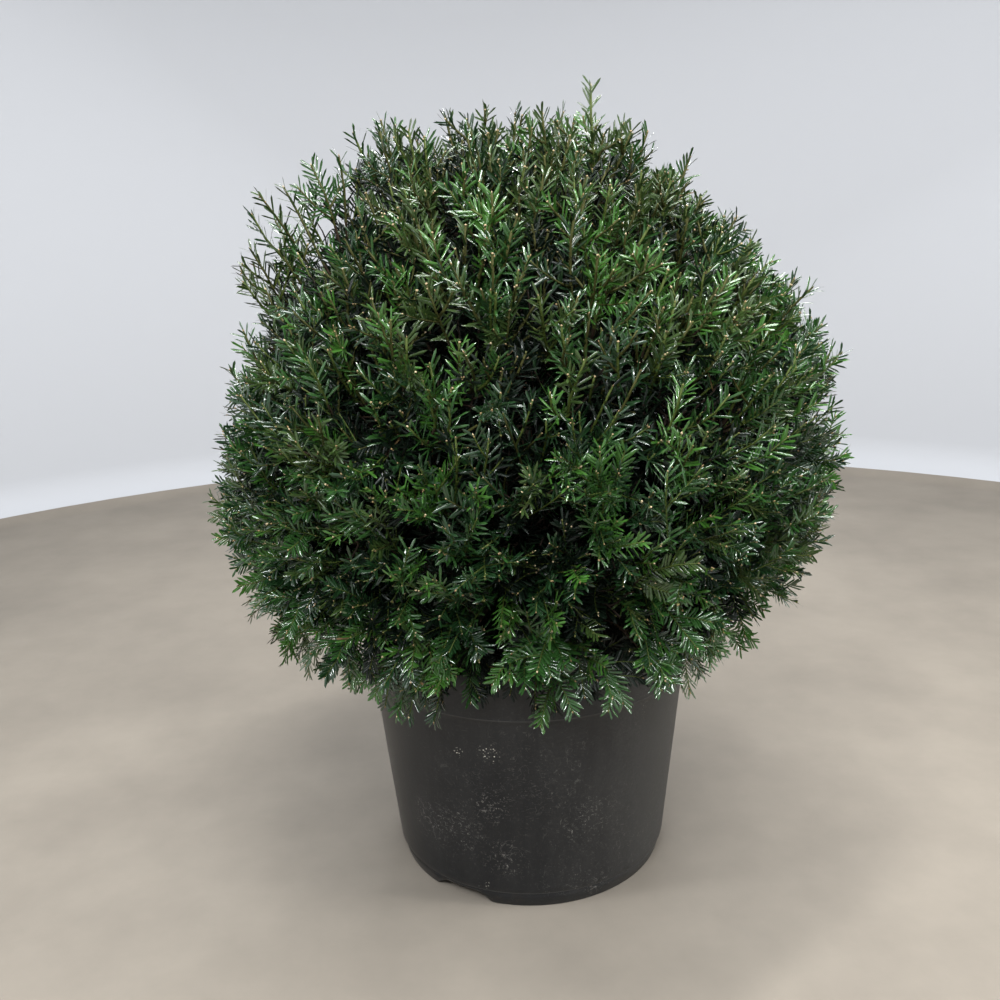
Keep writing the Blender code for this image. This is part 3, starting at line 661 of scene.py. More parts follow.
def scatteredChips(centres, sizes, random):
    # each chip is a squared-off lump: eight corners of a box, pulled about, turned at random
    corner = np.array([(x, y, z) for z in (-1, 1) for y in (-1, 1) for x in (-1, 1)], float)
    quads = np.array(((0, 2, 3, 1), (4, 5, 7, 6), (0, 1, 5, 4), (2, 6, 7, 3), (0, 4, 6, 2), (1, 3, 7, 5)))
    count = len(centres)
    shape = corner[None] * sizes[:, None] * random.uniform(0.45, 1.0, (count, 8, 3))
    along = unitRows(random.normal(0.0, 1.0, (count, 3)) * (1, 1, 0.35))
    up = across(np.array((0.0, 0.0, 1.0)) + random.normal(0.0, 0.35, (count, 3)), along)
    axes = np.stack((along, np.cross(up, along), up), axis=1)
    faces = (quads[None] + 8 * np.arange(count)[:, None, None]).reshape(-1, 4)
    return (centres[:, None] + shape @ axes).reshape(-1, 3), faces


def buildChips():
    # bark chips and grit on the compost, and one clump of earth caught on the rim
    random = np.random.default_rng(crown["seed"] + 40)
    chips, clump = compost["chips"], compost["clump"]
    count = chips + compost["grains"]
    edge = innerRadius(compost["top"]) - 0.012
    radius = edge * np.sqrt(random.uniform(0.0, 1.0, count))
    x, y = levelPlace(radius, random.uniform(0.0, math.tau, count))
    centres = np.stack((x, y, compostTop(x, y) + 0.0006), axis=1)
    length = random.uniform(*compost["chipLength"], count) / 2
    sizes = np.stack((length, length * random.uniform(*compost["chipWidth"], count),
                      length * random.uniform(*compost["chipDepth"], count)), axis=1)
    sizes[chips:] = random.uniform(*compost["grainSize"], (compost["grains"], 1)) * (1.0, 0.9, 0.8)
    heap = random.normal(0.0, 1.0, (clump, 3)) * compost["clumpSpread"]
    heap[:, 2] = np.abs(heap[:, 2]) + pot["height"] + 0.0008
    heap += wayOf(compost["clumpBearing"], 0.0) * (pot["rimRadius"] - 0.004)
    heapSizes = random.uniform(*compost["clumpSize"], (clump, 3))
    points, faces = scatteredChips(np.vstack((centres, heap)), np.vstack((sizes, heapSizes)), random)
    tints = random.choice(3, count + clump, p=(0.5, 0.3, 0.2))
    tints[chips:count] = 3
    tints[count:] = random.choice((0, 1), clump)
    materials = [plainMaterial(*row) for row in compost["chipTints"]]
    piece = makePiece("compost_chips", points, [faces], materials, tints=[np.repeat(tints, 6)], smooth=False)


wood = {
    "tip": 0.655,
    "footRadius": 0.019,
    "tipRadius": 0.0075,
    "sway": (0.006, 0.004),
    "flareHeight": 0.022,
    "flareSpread": 0.013,
    "flareLeast": 0.35,
    "flareLobes": 5,
    "sunk": 0.004,  # how far its foot runs on into the compost
    "sides": 96,
    "rings": 260,
    "lowerFoot": 0.362,  # height at which the lowest bough of each tier leaves
    "upperFoot": 0.450,
    "stagger": 0.018,
    "boughRadius": 0.0072,
    "boughTip": 0.0042,
    "boughRise": 48,
    "boughSides": 30,
    "boughRings": 90,
    "collar": 0.55,  # swelling of a bough's foot, and the share of it over which it dies out
    "collarReach": 0.07,
    "inner": 0.135,  # radius at which the masses begin
    "stemBare": 0.012,
    "stemReach": 0.060,
    "grain": (260.0, 260.0, 75.0),
    "plateSteps": 3.5,
    "trunkRelief": 0.0011,
    "boughRelief": 0.00045,
    "barkRed": (0.135, 0.055, 0.032),
    "barkGrey": (0.105, 0.082, 0.062),
    "barkDeep": (0.030, 0.015, 0.010),
}


def trunkShare(height):
    return (height - compost["top"]) / (wood["tip"] - compost["top"])


def trunkAxis(height):
    # gentle sway: half a sine along X and a full one along Y
    turn = math.pi * trunkShare(height)
    x, y = wood["sway"]
    return np.stack((x * np.sin(turn), y * np.sin(turn) * np.cos(turn), height), axis=-1)


def flareAt(height):
    return wood["flareSpread"] * np.exp(-np.maximum(height - compost["top"], 0.0) / wood["flareHeight"])


def trunkRadius(height, lobe=1.0):
    # even taper plus a lobed flare that dies out above the foot
    taper = between((wood["footRadius"], wood["tipRadius"]), trunkShare(height))
    return taper + flareAt(height) * between((wood["flareLeast"], 1.0), lobe)


def onTrunk(mass):
    return masses[mass][2] == 90


def boughTip(mass):
    return middle + massWays[mass] * (wood["inner"] - wood["stemBare"])


def boughControls(mass):
    # from the trunk's side, rising steeply, to the inner face of its mass
    bearing, rise = masses[mass][1:]
    foot = (wood["upperFoot"] if rise > 0 else wood["lowerFoot"]) + mass * 2 % 5 * wood["stagger"]
    outward = wayOf(bearing, 0.0)
    start = trunkAxis(foot)
    seat = start @ outward + trunkRadius(foot) * 0.55
    start = start + outward * (seat - start @ outward)
    return curveControls(start[None], wayOf(bearing, wood["boughRise"])[None], massWays[mass][None],
                         boughTip(mass)[None])


def barkRelief(points, strength):
    # long flaking plates: stepped noise, drawn out along the limb, with furrows between them
    drawn = points * wood["grain"]
    plates = layeredNoise(drawn, 3, 3)
    stepped = np.round(plates * wood["plateSteps"]) / wood["plateSteps"]
    furrow = np.exp(-((latticeNoise(drawn * 0.7, 23) / 0.10) ** 2))
    return strength * (0.55 * stepped + 0.25 * plates - 0.75 * furrow)


def limbPart(paths, ways, radii, sides, strength):
    # tube with the bark's relief pushed along its own outward way, and rounded ends closed at poles
    grid = tubeGrid(paths, ways, radii, sides)
    outward = unitRows(grid - paths[:, None])
    relief = barkRelief(grid.reshape(-1, 3), strength).reshape(grid.shape[:2])
    fade = np.minimum(1.0, radii / radii.max() * 1.2)[:, None]
    grid = grid + outward * (relief * fade)[..., None]
    poles = paths[0] - ways[0] * radii[0] * 0.3, paths[-1] + ways[-1] * radii[-1] * 0.4
    return np.vstack((grid.reshape(-1, 3), *poles)), closedFaces(*grid.shape[:2]), []


def trunkPart():
    # rings closer at the foot, each pushed out by the lobes of the flare: a cosine round the trunk
    steps = np.linspace(0, 1, wood["rings"]) ** 1.2
    heights = between((compost["top"] - wood["sunk"], wood["tip"]), steps)
    axis = trunkAxis(heights)
    part = limbPart(axis, unitRows(np.gradient(axis, axis=0)), trunkRadius(heights, 0.5), wood["sides"],
                    wood["trunkRelief"])
    ring = part[0][:wood["rings"] * wood["sides"]].reshape(wood["rings"], wood["sides"], 3)
    lobe = np.cos(wood["flareLobes"] * np.arctan2(ring[..., 1], ring[..., 0])) / 2 * (1 - wood["flareLeast"])
    ring += unitRows((ring - axis[:, None]) * (1, 1, 0)) * (lobe * flareAt(ring[..., 2]))[..., None]
    return part


def boughPart(mass):
    # even taper that swells where it leaves the trunk
    t = np.linspace(0.0, 1.0, wood["boughRings"]) ** 1.15
    paths, ways = curvesAt(boughControls(mass), t[None])
    radii = between((wood["boughRadius"], wood["boughTip"]), t)
    radii = radii * (1.0 + wood["collar"] * np.exp(-t / wood["collarReach"]))
    return limbPart(paths[0], ways[0], radii, wood["boughSides"], wood["boughRelief"])


def buildWood():
    # trunk and eleven boughs in one mesh
    boughs = [boughPart(mass) for mass in range(len(masses)) if not onTrunk(mass)]
    points, faces, _ = stacked([trunkPart()] + boughs)
    piece = makePiece("trunk_and_boughs", points, faces, [barkMaterial()])
    names = ["trunk"] + [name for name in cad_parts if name.startswith("bough_")]
    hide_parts(*sorted(names))


def barkMaterial():
    # reddish brown plates with greyer, weathered ones and dark furrows
    material = plainMaterial("yewBark", wood["barkRed"], 0.85)
    tree = material.node_tree
    plates = patternOf(tree, 70.0, 5.0, 0.65, 0.40, 0.60, stretch=(1, 1, 0.3))
    furrow = patternOf(tree, 150.0, 4.0, 0.6, 0.36, 0.46, 1.0, 0.0, stretch=(1, 1, 0.25))
    colour = mixColours(tree, plates, wood["barkRed"], wood["barkGrey"])
    colour = mixColours(tree, furrow, colour, wood["barkDeep"])
    return dress(material, colour, noiseOf(tree, 260.0, 6.0, 0.7, (1, 1, 0.35)), 0.5, 0.0008)


growth = {
    "twigs": 56,  # main twigs of all masses
    "twigDepth": 0.93,  # share of the reach at which they end
    "twigRadius": 0.0026,
    "branchlets": 560,
    "branchletTips": (0.70, 0.93),
    "branchletRadius": 0.0016,
    "outer": {  # shoots that make the surface
        "count": 2050,
        "tips": (0.945, 1.035),
        "thinned": 0.48,  # share left out at the skirt
        "long": 0.26,  # share of them that stand out, by up to longReach
        "longReach": 0.045,
        "length": (0.055, 0.100),
        "sideShoots": 1.7,
        "spacing": (0.0018, 0.0024),  # between needles, on flat sprays and on upright shoots
        "needle": (0.0164, 0.0208),  # length, likewise
        "width": (0.0025, 0.0027),
        "lowest": (0.298, 0.322),  # heights below which no tip hangs
        "radius": (0.00080, 0.00170),
        "rings": 5,
    },
    "inner": {  # older growth behind them
        "count": 2500,
        "tips": (0.50, 0.93),
        "thinned": 0.0,
        "long": 0.0,
        "longReach": 0.0,
        "length": (0.055, 0.100),
        "sideShoots": 1.4,
        "spacing": (0.0022, 0.0026),
        "needle": (0.0195, 0.0215),
        "width": (0.0033, 0.0033),
        "lowest": (0.338, 0.352),
        "radius": (0.00100, 0.00120),
        "rings": 3,
    },
    "swell": 0.016,  # slow unevenness of the surface, as products of sines of the way
    "swellScale": 11.0,
    "swellPhase": (0.3, 1.9, 4.1),
    "hollows": (  # where most surface shoots end sooner: bearing, rise, share, spread
        (-78, 50, 0.20, 15), (-76, 29, 0.05, 9), (-77, 15, 0.12, 11), (-30, 72, 0.05, 12),
        (76, 52, 0.06, 12), (-105, 48, 0.16, 13), (-96, 20, 0.11, 11), (-116, 58, 0.05, 8),
        (-150, 70, 0.05, 10), (82, -29, 0.07, 9),
    ),
    "hollowed": 0.84,  # share of shoots that a hollow takes in
    "leaders": (  # shoots that stand up out of the rest: bearing, rise, share of the reach
        (43, 74, 1.13), (-73, 36, 1.04), (-75, 41, 1.05), (-72, 45, 1.10), (-75, 48, 1.10), (-70, 51, 1.08),
        (-68, 56, 1.07), (-66, 60, 1.04), (-62, 63, 1.07), (-57, 66, 1.05), (-50, 69, 1.03), (19, 77, 1.05),
        (56, 68, 1.05), (65, 59, 1.07), (75, 31, 1.07), (77, 19, 1.07), (-92, 36, 1.05), (-120, 56, 1.04),
        (-66, -33, 1.09), (-63, -37, 1.07), (-60, -38, 1.03), (-56, -43, 1.02), (-62, -46, 1.04),
        (-70, -24, 1.03), (-54, -31, 1.05), (-50, -33, 1.03), (-47, -37, 1.01), (-43, -41, 0.99),
        (-53, -47, 1.01), (-42, -44, 1.00), (110, 50, 1.06), (150, 58, 1.07), (-150, 50, 1.07),
        (180, 70, 1.08), (128, 28, 1.06), (-128, 24, 1.06),
    ),
    "wander": 0.20,  # how far shoots stray from the growth way
    "shootLift": 0.42,  # how much more than twigs they turn up, in the upper half
    "hangShort": 0.30,  # how much shorter they are at the skirt
    "outward": 0.15,  # least cosine of a shoot's end off its way, and how much a lower one is turned
    "turnedOut": 0.6,
    "pull": 0.9,  # how much a shank turns towards the shoot's foot as it leaves the twig
    "bareEnds": (0.12, 0.8),  # least and greatest bare share, and the greatest leafy share of the span
    "leafyMost": 0.88,
    "leastDepth": 0.5,
    "faceUp": 0.5,  # how much a spray's face is turned upwards
    "rollStray": 0.40,
    "sidePlaces": (0.02, 0.78),
    "sideAngle": (36, 54),
    "sideLength": (0.42, 0.72),
    "sideTaper": (1.15, 0.65),  # of their length, along the leader
    "sideScale": 0.92,
    "sideStray": 0.12,
    "sideRoll": 0.15,
    "sideBare": 0.10,
    "sideLeafy": 0.9,
    "flatLean": (62, 32),  # needles' angle off their shoot at its foot, and at its tip
    "roundLean": (52, 32),
    "ringed": (0.12, 0.50),  # share of needles' turn from two ranks to all round, level and upright
    "ringedMiddle": 0.20,  # how much more on level shoots above the skirt
    "ringedStray": 0.20,
    "ringedEnds": (0.03, 0.85),
    "rankRise": 0.26,  # how far the two flat ranks are folded up
    "spiral": 2.39996,  # turn from one needle to the next, all round
    "bend": (-0.02, 0.26),
    "sickle": 0.045,
    "footShort": (0.34, 0.20),  # how much shorter needles are at a shoot's foot, and up to what share
    "tipShort": (0.26, 0.84),  # and at its tip, and from what share
    "place": (0.3, 0.7),  # strays of the needles: within a step, off their rank or spiral, and so on
    "rankStray": 0.16,
    "spiralStray": 0.12,
    "leanStray": 4.5,
    "faceStray": 0.20,
    "lengthStray": (0.84, 1.10),
    "widthStray": (0.88, 1.12),
    "roundness": 0.55,  # slope of a needle's edges, as its shading has it
    "clipped": (0.06, 0.30), # share of shoots with a cut end, level and upright
    "brownNeedles": 0.001,
    "potMargin": 0.005,
    "sides": 3,
}

# greens of the needles, dealt out by spray, and the stems' and buds' own: colour, roughness, gloss, wax
tints = {
    "needles": (
        ("needleDeep", (0.0078, 0.0285, 0.0082), 0.33, 0.30, 1.00),
        ("needleMid", (0.0172, 0.0580, 0.0114), 0.33, 0.30, 1.00),
        ("needleFresh", (0.0330, 0.1030, 0.0136), 0.31, 0.30, 1.00),
        ("needleOlive", (0.0290, 0.0550, 0.0125), 0.35, 0.30, 0.70),
        # needleShade and the darkest green at the end are painted shade, for sprays deep in the crown
        ("needleShade", (0.0020, 0.0067, 0.0028), 0.45, 0.25, 0.12),
        ("needleBrown", (0.1150, 0.0720, 0.0300), 0.60, 0.30, 0.00),
        ("needleDarkestShade", (0.0010, 0.0034, 0.0015), 0.60, 0.10, 0.00),
    ),
    "stems": (
        ("stemGreen", (0.0500, 0.0700, 0.0120), 0.60, 0.20, 0.0),
        ("stemOlive", (0.0430, 0.0440, 0.0110), 0.65, 0.15, 0.0),
        ("twigBrown", (0.0330, 0.0210, 0.0130), 0.80, 0.15, 0.0),
        ("twigOld", (0.0170, 0.0115, 0.0085), 0.85, 0.10, 0.0),
    ),
    "buds": (
        ("budTan", (0.2300, 0.1550, 0.0720), 0.55, 0.40, 0.0),
        ("budPale", (0.4600, 0.3600, 0.2200), 0.55, 0.40, 0.0),
        ("cutCream", (0.3200, 0.2400, 0.1350), 0.70, 0.30, 0.0),
        ("budGreen", (0.1050, 0.1050, 0.0250), 0.55, 0.40, 0.0),
    ),
}
deep, mid, fresh, olive, shade, brown, darkestShade = range(7)
stemGreen, stemOlive, twigBrown, twigOld = range(4)
budTan, budPale, cutCream, budGreen = range(4)

# how the greens are dealt: shares of sprays, and shares of the reach
dealing = {
    "top": (0.25, 0.85),  # heights of a unit way from and to which the top's greens set in
    "skirt": (0.10, 0.60),  # and depths at which the skirt's do
    "olive": (0.08, 0.40),  # everywhere, and more at the top
    "fresh": (0.18, -0.06, 0.28),  # everywhere, more at the top and on the skirt
    "mid": 0.32,
    "darkestShade": (0.82, 0.13),  # reach up to which inner sprays take the darkest painted shade, and more on the skirt
    "shade": (0.80, 0.15),  # inner sprays in painted shade, likewise
    "deep": 0.95,
    "recess": (0.92, 0.99),  # reach over which the painted shade of recessed sprays gives way to the surface's greens
    "recessedShade": 0.90,
}


def tintMaterials(rows):
    return [plainMaterial(name, colour, roughness, Specular_IOR_Level=gloss, Coat_Weight=wax,
                          Coat_Roughness=0.08) for name, colour, roughness, gloss, wax in rows]


def clearOfPot(points, margin):
    # outside the rim or above it
    radius = np.hypot(points[..., 0], points[..., 1])
    return (radius > pot["rimRadius"] + margin) | (points[..., 2] > pot["height"] + margin)


def curvesClear(controls, low):
    # whether each curve keeps off the pot, from low on
    points = bezierPoints(controls, evenSteps(controls, low, 1.0, 12))
    return clearOfPot(points, growth["potMargin"]).all(axis=1)


def stemControls(mass):
    # from the bough's end, or the trunk's, into the mass
    way = massWays[mass]
    start = trunkAxis(np.array(wood["tip"])) if onTrunk(mass) else boughTip(mass)
    end = middle + way * (wood["inner"] + wood["stemReach"])
    return curveControls(start[None], way[None], way[None], end[None])


def growTwigs(joints, ways, depths):
    # curves from the joint that each tip's limb leaves, out along the growth way
    tips = middle + ways * (depths * crownReach(ways))[:, None]
    return curveControls(*joinNearest(tips, joints), growthWays(ways), tips)


def shootDepths(kind, ways, random):
    # share of the reach of each tip: evenly dealt, with some that stand out and a slow swell,
    # less the hollows, and nothing lower than the skirt's hem
    count = len(ways)
    depths = random.uniform(*kind["tips"], count)
    depths += (random.uniform(0, 1, count) < kind["long"]) * random.uniform(0, kind["longReach"], count)
    swell = np.sin(growth["swellScale"] * ways + growth["swellPhase"])
    depths += growth["swell"] * (swell[:, 0] * swell[:, 1] + swell[:, 1] * swell[:, 2])
    for bearing, rise, share, spread in growth["hollows"]:
        taken = random.uniform(0, 1, count) < growth["hollowed"]
        depths -= share * lumpAt(ways, bearing, rise, spread) * taken
    hem = random.uniform(*kind["lowest"], count) - crown["middle"]
    hemShare = hem / np.minimum(ways[:, 2] * crownReach(ways), -1e-3)
    return np.minimum(depths, np.maximum(hemShare, growth["leastDepth"]))


def growShoots(kind, mass, ways, joints, random):
    # a shoot runs straight back from its tip by its length, and a bare shank joins it to the nearest twig
    thin = kind["thinned"] * smoothStep(-ways[:, 2], 0.20, 0.55)
    ways = ways[random.uniform(0.0, 1.0, len(ways)) >= thin]
    depths = shootDepths(kind, ways, random)
    if kind["long"]:
        leaders = np.array(growth["leaders"])
        leaders = leaders[ownerOf(wayOf(leaders[:, 0], leaders[:, 1])) == mass]
        ways = np.vstack((ways, wayOf(leaders[:, 0], leaders[:, 1])))
        depths = np.append(depths, leaders[:, 2])
    count = len(ways)
    tips = middle + ways * (depths * crownReach(ways))[:, None]
    lifted = growthWays(ways)
    lifted[:, 2] += growth["shootLift"] * smoothStep(ways[:, 2], -0.1, 0.7)
    arrive = unitRows(lifted + random.normal(0.0, growth["wander"], (count, 3)))
    turned = unitRows(arrive + growth["turnedOut"] * ways)
    arrive = np.where(dot(arrive, ways) < growth["outward"], turned, arrive)
    length = random.uniform(*kind["length"], count)
    length *= 1.0 - growth["hangShort"] * smoothStep(-ways[:, 2], 0.25, 0.60)
    base = tips - arrive * length[:, None]
    places, tangents = joinNearest(base, joints)
    setOff = unitRows(tangents + growth["pull"] * unitRows(base - places))
    span = np.linalg.norm(tips - places, axis=1)
    return {
        "controls": curveControls(places, setOff, arrive, tips),
        "bare": np.clip(1.0 - length / span, *growth["bareEnds"]),
        "facing": ways + (0.0, 0.0, growth["faceUp"]) + random.normal(0.0, growth["rollStray"], (count, 3)),
        "length": np.minimum(length, span * growth["leafyMost"]),
        "ways": ways,
        "scale": np.ones(count),
        "group": np.arange(count),
    }


def dealtOut(count):
    # for children dealt out by a count for each parent: their parent, and their order under it
    parent = np.repeat(np.arange(len(count)), count)
    return parent, np.arange(len(parent)) - np.repeat(np.cumsum(count) - count, count)


def placesOn(shoots, parent, share):
    # points and tangents at a share of the leafy part of each parent
    bare = shoots["bare"][parent]
    t = (bare + (1.0 - bare) * share)[:, None]
    points, ways = curvesAt(shoots["controls"][parent], t)
    return points[:, 0], ways[:, 0]


def growSideShoots(kind, shoots, random):
    # side shoots leave their leader on alternate sides, in its flat plane, and turn forwards
    parent, order = dealtOut(random.poisson(kind["sideShoots"], len(shoots["ways"])))
    count = len(parent)
    share = random.uniform(*growth["sidePlaces"], count)
    root, along = placesOn(shoots, parent, share)
    facing = across(shoots["facing"][parent], along)
    side = np.cross(along, facing) * np.where(order % 2, 1.0, -1.0)[:, None]
    angle = np.radians(random.uniform(*growth["sideAngle"], count))[:, None]
    stray = random.normal(0.0, growth["sideStray"], (count, 3))
    way = unitRows(np.cos(angle) * along + np.sin(angle) * side + stray)
    length = random.uniform(*growth["sideLength"], count) * shoots["length"][parent]
    length *= between(growth["sideTaper"], share)
    tip = root + way * length[:, None]
    offset = tip - middle
    reach = np.linalg.norm(offset, axis=1)
    over = reach / (kind["tips"][1] * crownReach(offset / reach[:, None]))
    keep = (over < 1.02) & (tip[:, 2] > kind["lowest"][0] - 0.004)
    made = {
        "controls": curveControls(root, unitRows(way + 0.35 * side), unitRows(way + 0.25 * along), tip),
        "bare": np.full(count, growth["sideBare"]),
        "facing": facing + random.normal(0.0, growth["sideRoll"], (count, 3)),
        "length": length * growth["sideLeafy"],
        "ways": shoots["ways"][parent],
        "scale": np.full(count, growth["sideScale"]),
        "group": shoots["group"][parent],
    }
    return {key: value[keep] for key, value in made.items()}


def dealTints(shoots, isOuter, random):
    # olive towards the top, fresh on the skirt, deep in between, and painted shade on inner and recessed
    # sprays; a spray shares one green
    height = shoots["ways"][:, 2]
    top, skirt = smoothStep(height, *dealing["top"]), smoothStep(-height, *dealing["skirt"])
    groups = shoots["group"]
    dice = random.uniform(0.0, 1.0, groups.max() + 1)[groups]
    offset = shoots["controls"][:, 3] - middle
    depth = np.linalg.norm(offset, axis=1) / crownReach(unitRows(offset))
    if not isOuter:
        # inner sprays: painted shade, the darkest deepest in, and more of it on the skirt
        lit = np.where(dice < dealing["deep"], deep, mid)
        lit = np.where(dice < dealing["shade"][0] + dealing["shade"][1] * skirt, shade, lit)
        return np.where(depth < dealing["darkestShade"][0] + dealing["darkestShade"][1] * skirt, darkestShade, lit)
    oliveShare = dealing["olive"][0] + dealing["olive"][1] * top
    everywhere, atTop, onSkirt = dealing["fresh"]
    freshShare = oliveShare + everywhere + atTop * top + onSkirt * skirt
    green = np.where(dice < freshShare + dealing["mid"], mid, deep)
    green = np.where(dice < oliveShare, olive, np.where(dice < freshShare, fresh, green))
    # shoots that end further in take painted shade, the more so the deeper
    recessedShade = dealing["recessedShade"] * (1.0 - smoothStep(depth, *dealing["recess"]))
    return np.where(dice * 7.31 % 1.0 < recessedShade, shade, green)


# outlines of a needle: share of its length and of its half width at each point, and its faces
needleShapes = {
    "outer": {
        "along": (0.0, 0.0, 0.80, 0.80, 1.0),
        "aside": (-0.74, 0.74, -1.0, 1.0, 0.0),
        "faces": (((0, 2, 3, 1),), ((2, 4, 3),)),
    },
    "inner": {
        "along": (0.0, 0.0, 1.0, 1.0),
        "aside": (-0.75, 0.75, -0.45, 0.45),
        "faces": (((0, 2, 3, 1),),),
    },
}


def uprightShare(shoots):
    # how far a shoot's tip turns up: 0 level or hanging, 1 upright
    return smoothStep(bezierWays(shoots["controls"], np.ones((len(shoots["bare"]), 1)))[:, 0, 2], 0.15, 0.85)


def growNeedles(shoots, kind, shape, dealt, random):
    # needles at even steps along each shoot: two flat ranks on level shoots, all round on upright ones.
    # Each leans forwards by an angle that closes towards the shoot's tip, and bends away from its face.
    # A point: root + way u length + beside v width - face bend u^2 length + beside sickle u^2 length.
    upright = uprightShare(shoots)
    spacing = between(kind["spacing"], upright) * shoots["scale"]
    steps = np.maximum(6, (shoots["length"] / spacing).astype(int))
    parent, order = dealtOut(steps)
    count = len(parent)
    share = (order + random.uniform(*growth["place"], count)) / steps[parent]
    root, along = placesOn(shoots, parent, share)
    facing = across(shoots["facing"][parent], along)
    side = np.cross(along, facing)
    ringed = between(growth["ringed"], upright) + random.normal(0.0, growth["ringedStray"], len(steps))
    ringed += growth["ringedMiddle"] * smoothStep(shoots["ways"][:, 2], -0.35, 0.10) * (1.0 - upright)
    ringed = np.clip(ringed, *growth["ringedEnds"])[parent]
    flat = np.where(order % 2, growth["rankRise"], math.pi - growth["rankRise"])
    flat += random.normal(0.0, growth["rankStray"], count)
    spiral = order * growth["spiral"] + random.normal(0.0, growth["spiralStray"], count)
    turn = (flat + ringed * ((spiral - flat + math.pi) % math.tau - math.pi))[:, None]
    leans = between(growth["flatLean"], share ** 1.8), between(growth["roundLean"], share ** 1.5)
    lean = between(leans, ringed) + random.normal(0.0, growth["leanStray"], count)
    lean = np.radians(lean)[:, None]
    way = np.cos(lean) * along + np.sin(lean) * (np.cos(turn) * side + np.sin(turn) * facing)
    face = between((facing, along), ringed[:, None])
    face = across(face + random.normal(0.0, growth["faceStray"], face.shape), way)
    beside = np.cross(face, way)[:, None]
    length = between(kind["needle"], upright[parent]) * shoots["scale"][parent]
    length *= random.uniform(*growth["lengthStray"], count)
    (footShort, footEnd), (tipShort, tipStart) = growth["footShort"], growth["tipShort"]
    foot, tip = 1.0 - smoothStep(share, 0.0, footEnd), smoothStep(share, tipStart, 1.0)
    length *= 1.0 - footShort * foot - tipShort * tip
    length = length[:, None, None]
    width = (between(kind["width"], upright[parent]) / 2)[:, None, None]
    width = width * random.uniform(*growth["widthStray"], (count, 1, 1))
    bend = random.uniform(*growth["bend"], (count, 1, 1))
    sickle = random.normal(0.0, growth["sickle"], (count, 1, 1))
    u, v = np.array(shape["along"])[:, None], np.array(shape["aside"])[:, None]
    way, face = way[:, None], face[:, None]
    points = root[:, None] + way * u * length + beside * v * width
    points += (beside * sickle - face * bend) * u ** 2 * length
    normals = unitRows(face + way * 2 * bend * u + beside * np.sign(v) * growth["roundness"])
    keep = clearOfPot(points, 0.0015).all(axis=1)
    dealt = np.where(random.uniform(0.0, 1.0, count) < growth["brownNeedles"], brown, dealt[parent])[keep]
    # the outline's faces for every needle, grouped by their number of corners
    start = len(u) * np.arange(len(dealt))[:, None, None]
    faces = [(np.array(block) + start).reshape(-1, len(block[0])) for block in shape["faces"]]
    faceTints = [np.repeat(dealt, len(block)) for block in shape["faces"]]
    return (points[keep].reshape(-1, 3), faces, faceTints), normals[keep].reshape(-1, 3)


def tapered(radii, first, last, rings):
    # radii of a tube's rings, as even shares of its own
    return radii[:, None] * np.linspace(first, last, rings)


def twigTubes(controls, radii, change, early, late):
    # many tubes at once, closed by a flat face at both ends: one tint up to the change and one past it
    rings, sides = radii.shape[1], growth["sides"]
    t = evenSteps(controls, 0.0, 1.0, rings)
    grid = tubeGrid(*curvesAt(controls, t), radii, sides)
    start = rings * sides * np.arange(len(controls))[:, None, None]
    quads = (gridFaces(rings, sides) + start).reshape(-1, 4)
    ends = np.stack((np.arange(sides)[::-1], np.arange(sides) + (rings - 1) * sides))
    dealt = np.where(t < change, early, late)
    return (grid.reshape(-1, 3), [quads, (ends + start).reshape(-1, sides)],
            [np.repeat(dealt[:, :-1].ravel(), sides), np.repeat(dealt[:, -1], 2)])


def lozenges(centres, ways, radii, halves):
    # buds: eight faces between two poles and a ring of four
    side = across(np.broadcast_to(seamWay, ways.shape), ways)
    other = np.cross(ways, side)
    radii, halves = radii[:, None], halves[:, None]
    points = np.stack((centres - ways * halves, centres + side * radii, centres + other * radii,
                       centres - side * radii, centres - other * radii, centres + ways * halves), axis=1)
    ring = np.array((1, 2, 3, 4))
    faces = np.vstack((fanFaces(ring, 0)[:, ::-1], fanFaces(ring, 5)))
    return points.reshape(-1, 3), (faces + 6 * np.arange(len(centres))[:, None, None]).reshape(-1, 3)


budForms = {
    "kinds": (budTan, budPale, budGreen),
    "past": 0.0007,  # how far the middle of a tip's bud stands out past it
    "tipShares": (0.45, 0.20, 0.35),
    "tipRadius": (0.0006, 0.0014),
    "tipHalf": (0.0015, 0.0024),  # half its length
    "cutWidth": 1.15,  # of a cut end, as a share of its stem's radius
    "cutHalf": 0.0011,
    "rows": (  # share of shoots with one, and from and to where along the leafy part
        (0.34, 0.93, 0.99), (0.22, 0.90, 0.98), (0.14, 0.2, 0.9), (0.08, 0.2, 0.9),
    ),
    "aside": 0.0006,  # how far the middle of these stands off the stem, and how they lean out
    "lean": 0.9,
    "shares": (0.50, 0.25, 0.25),
    "radius": (0.0008, 0.0013),
    "half": (0.0011, 0.0019),
}


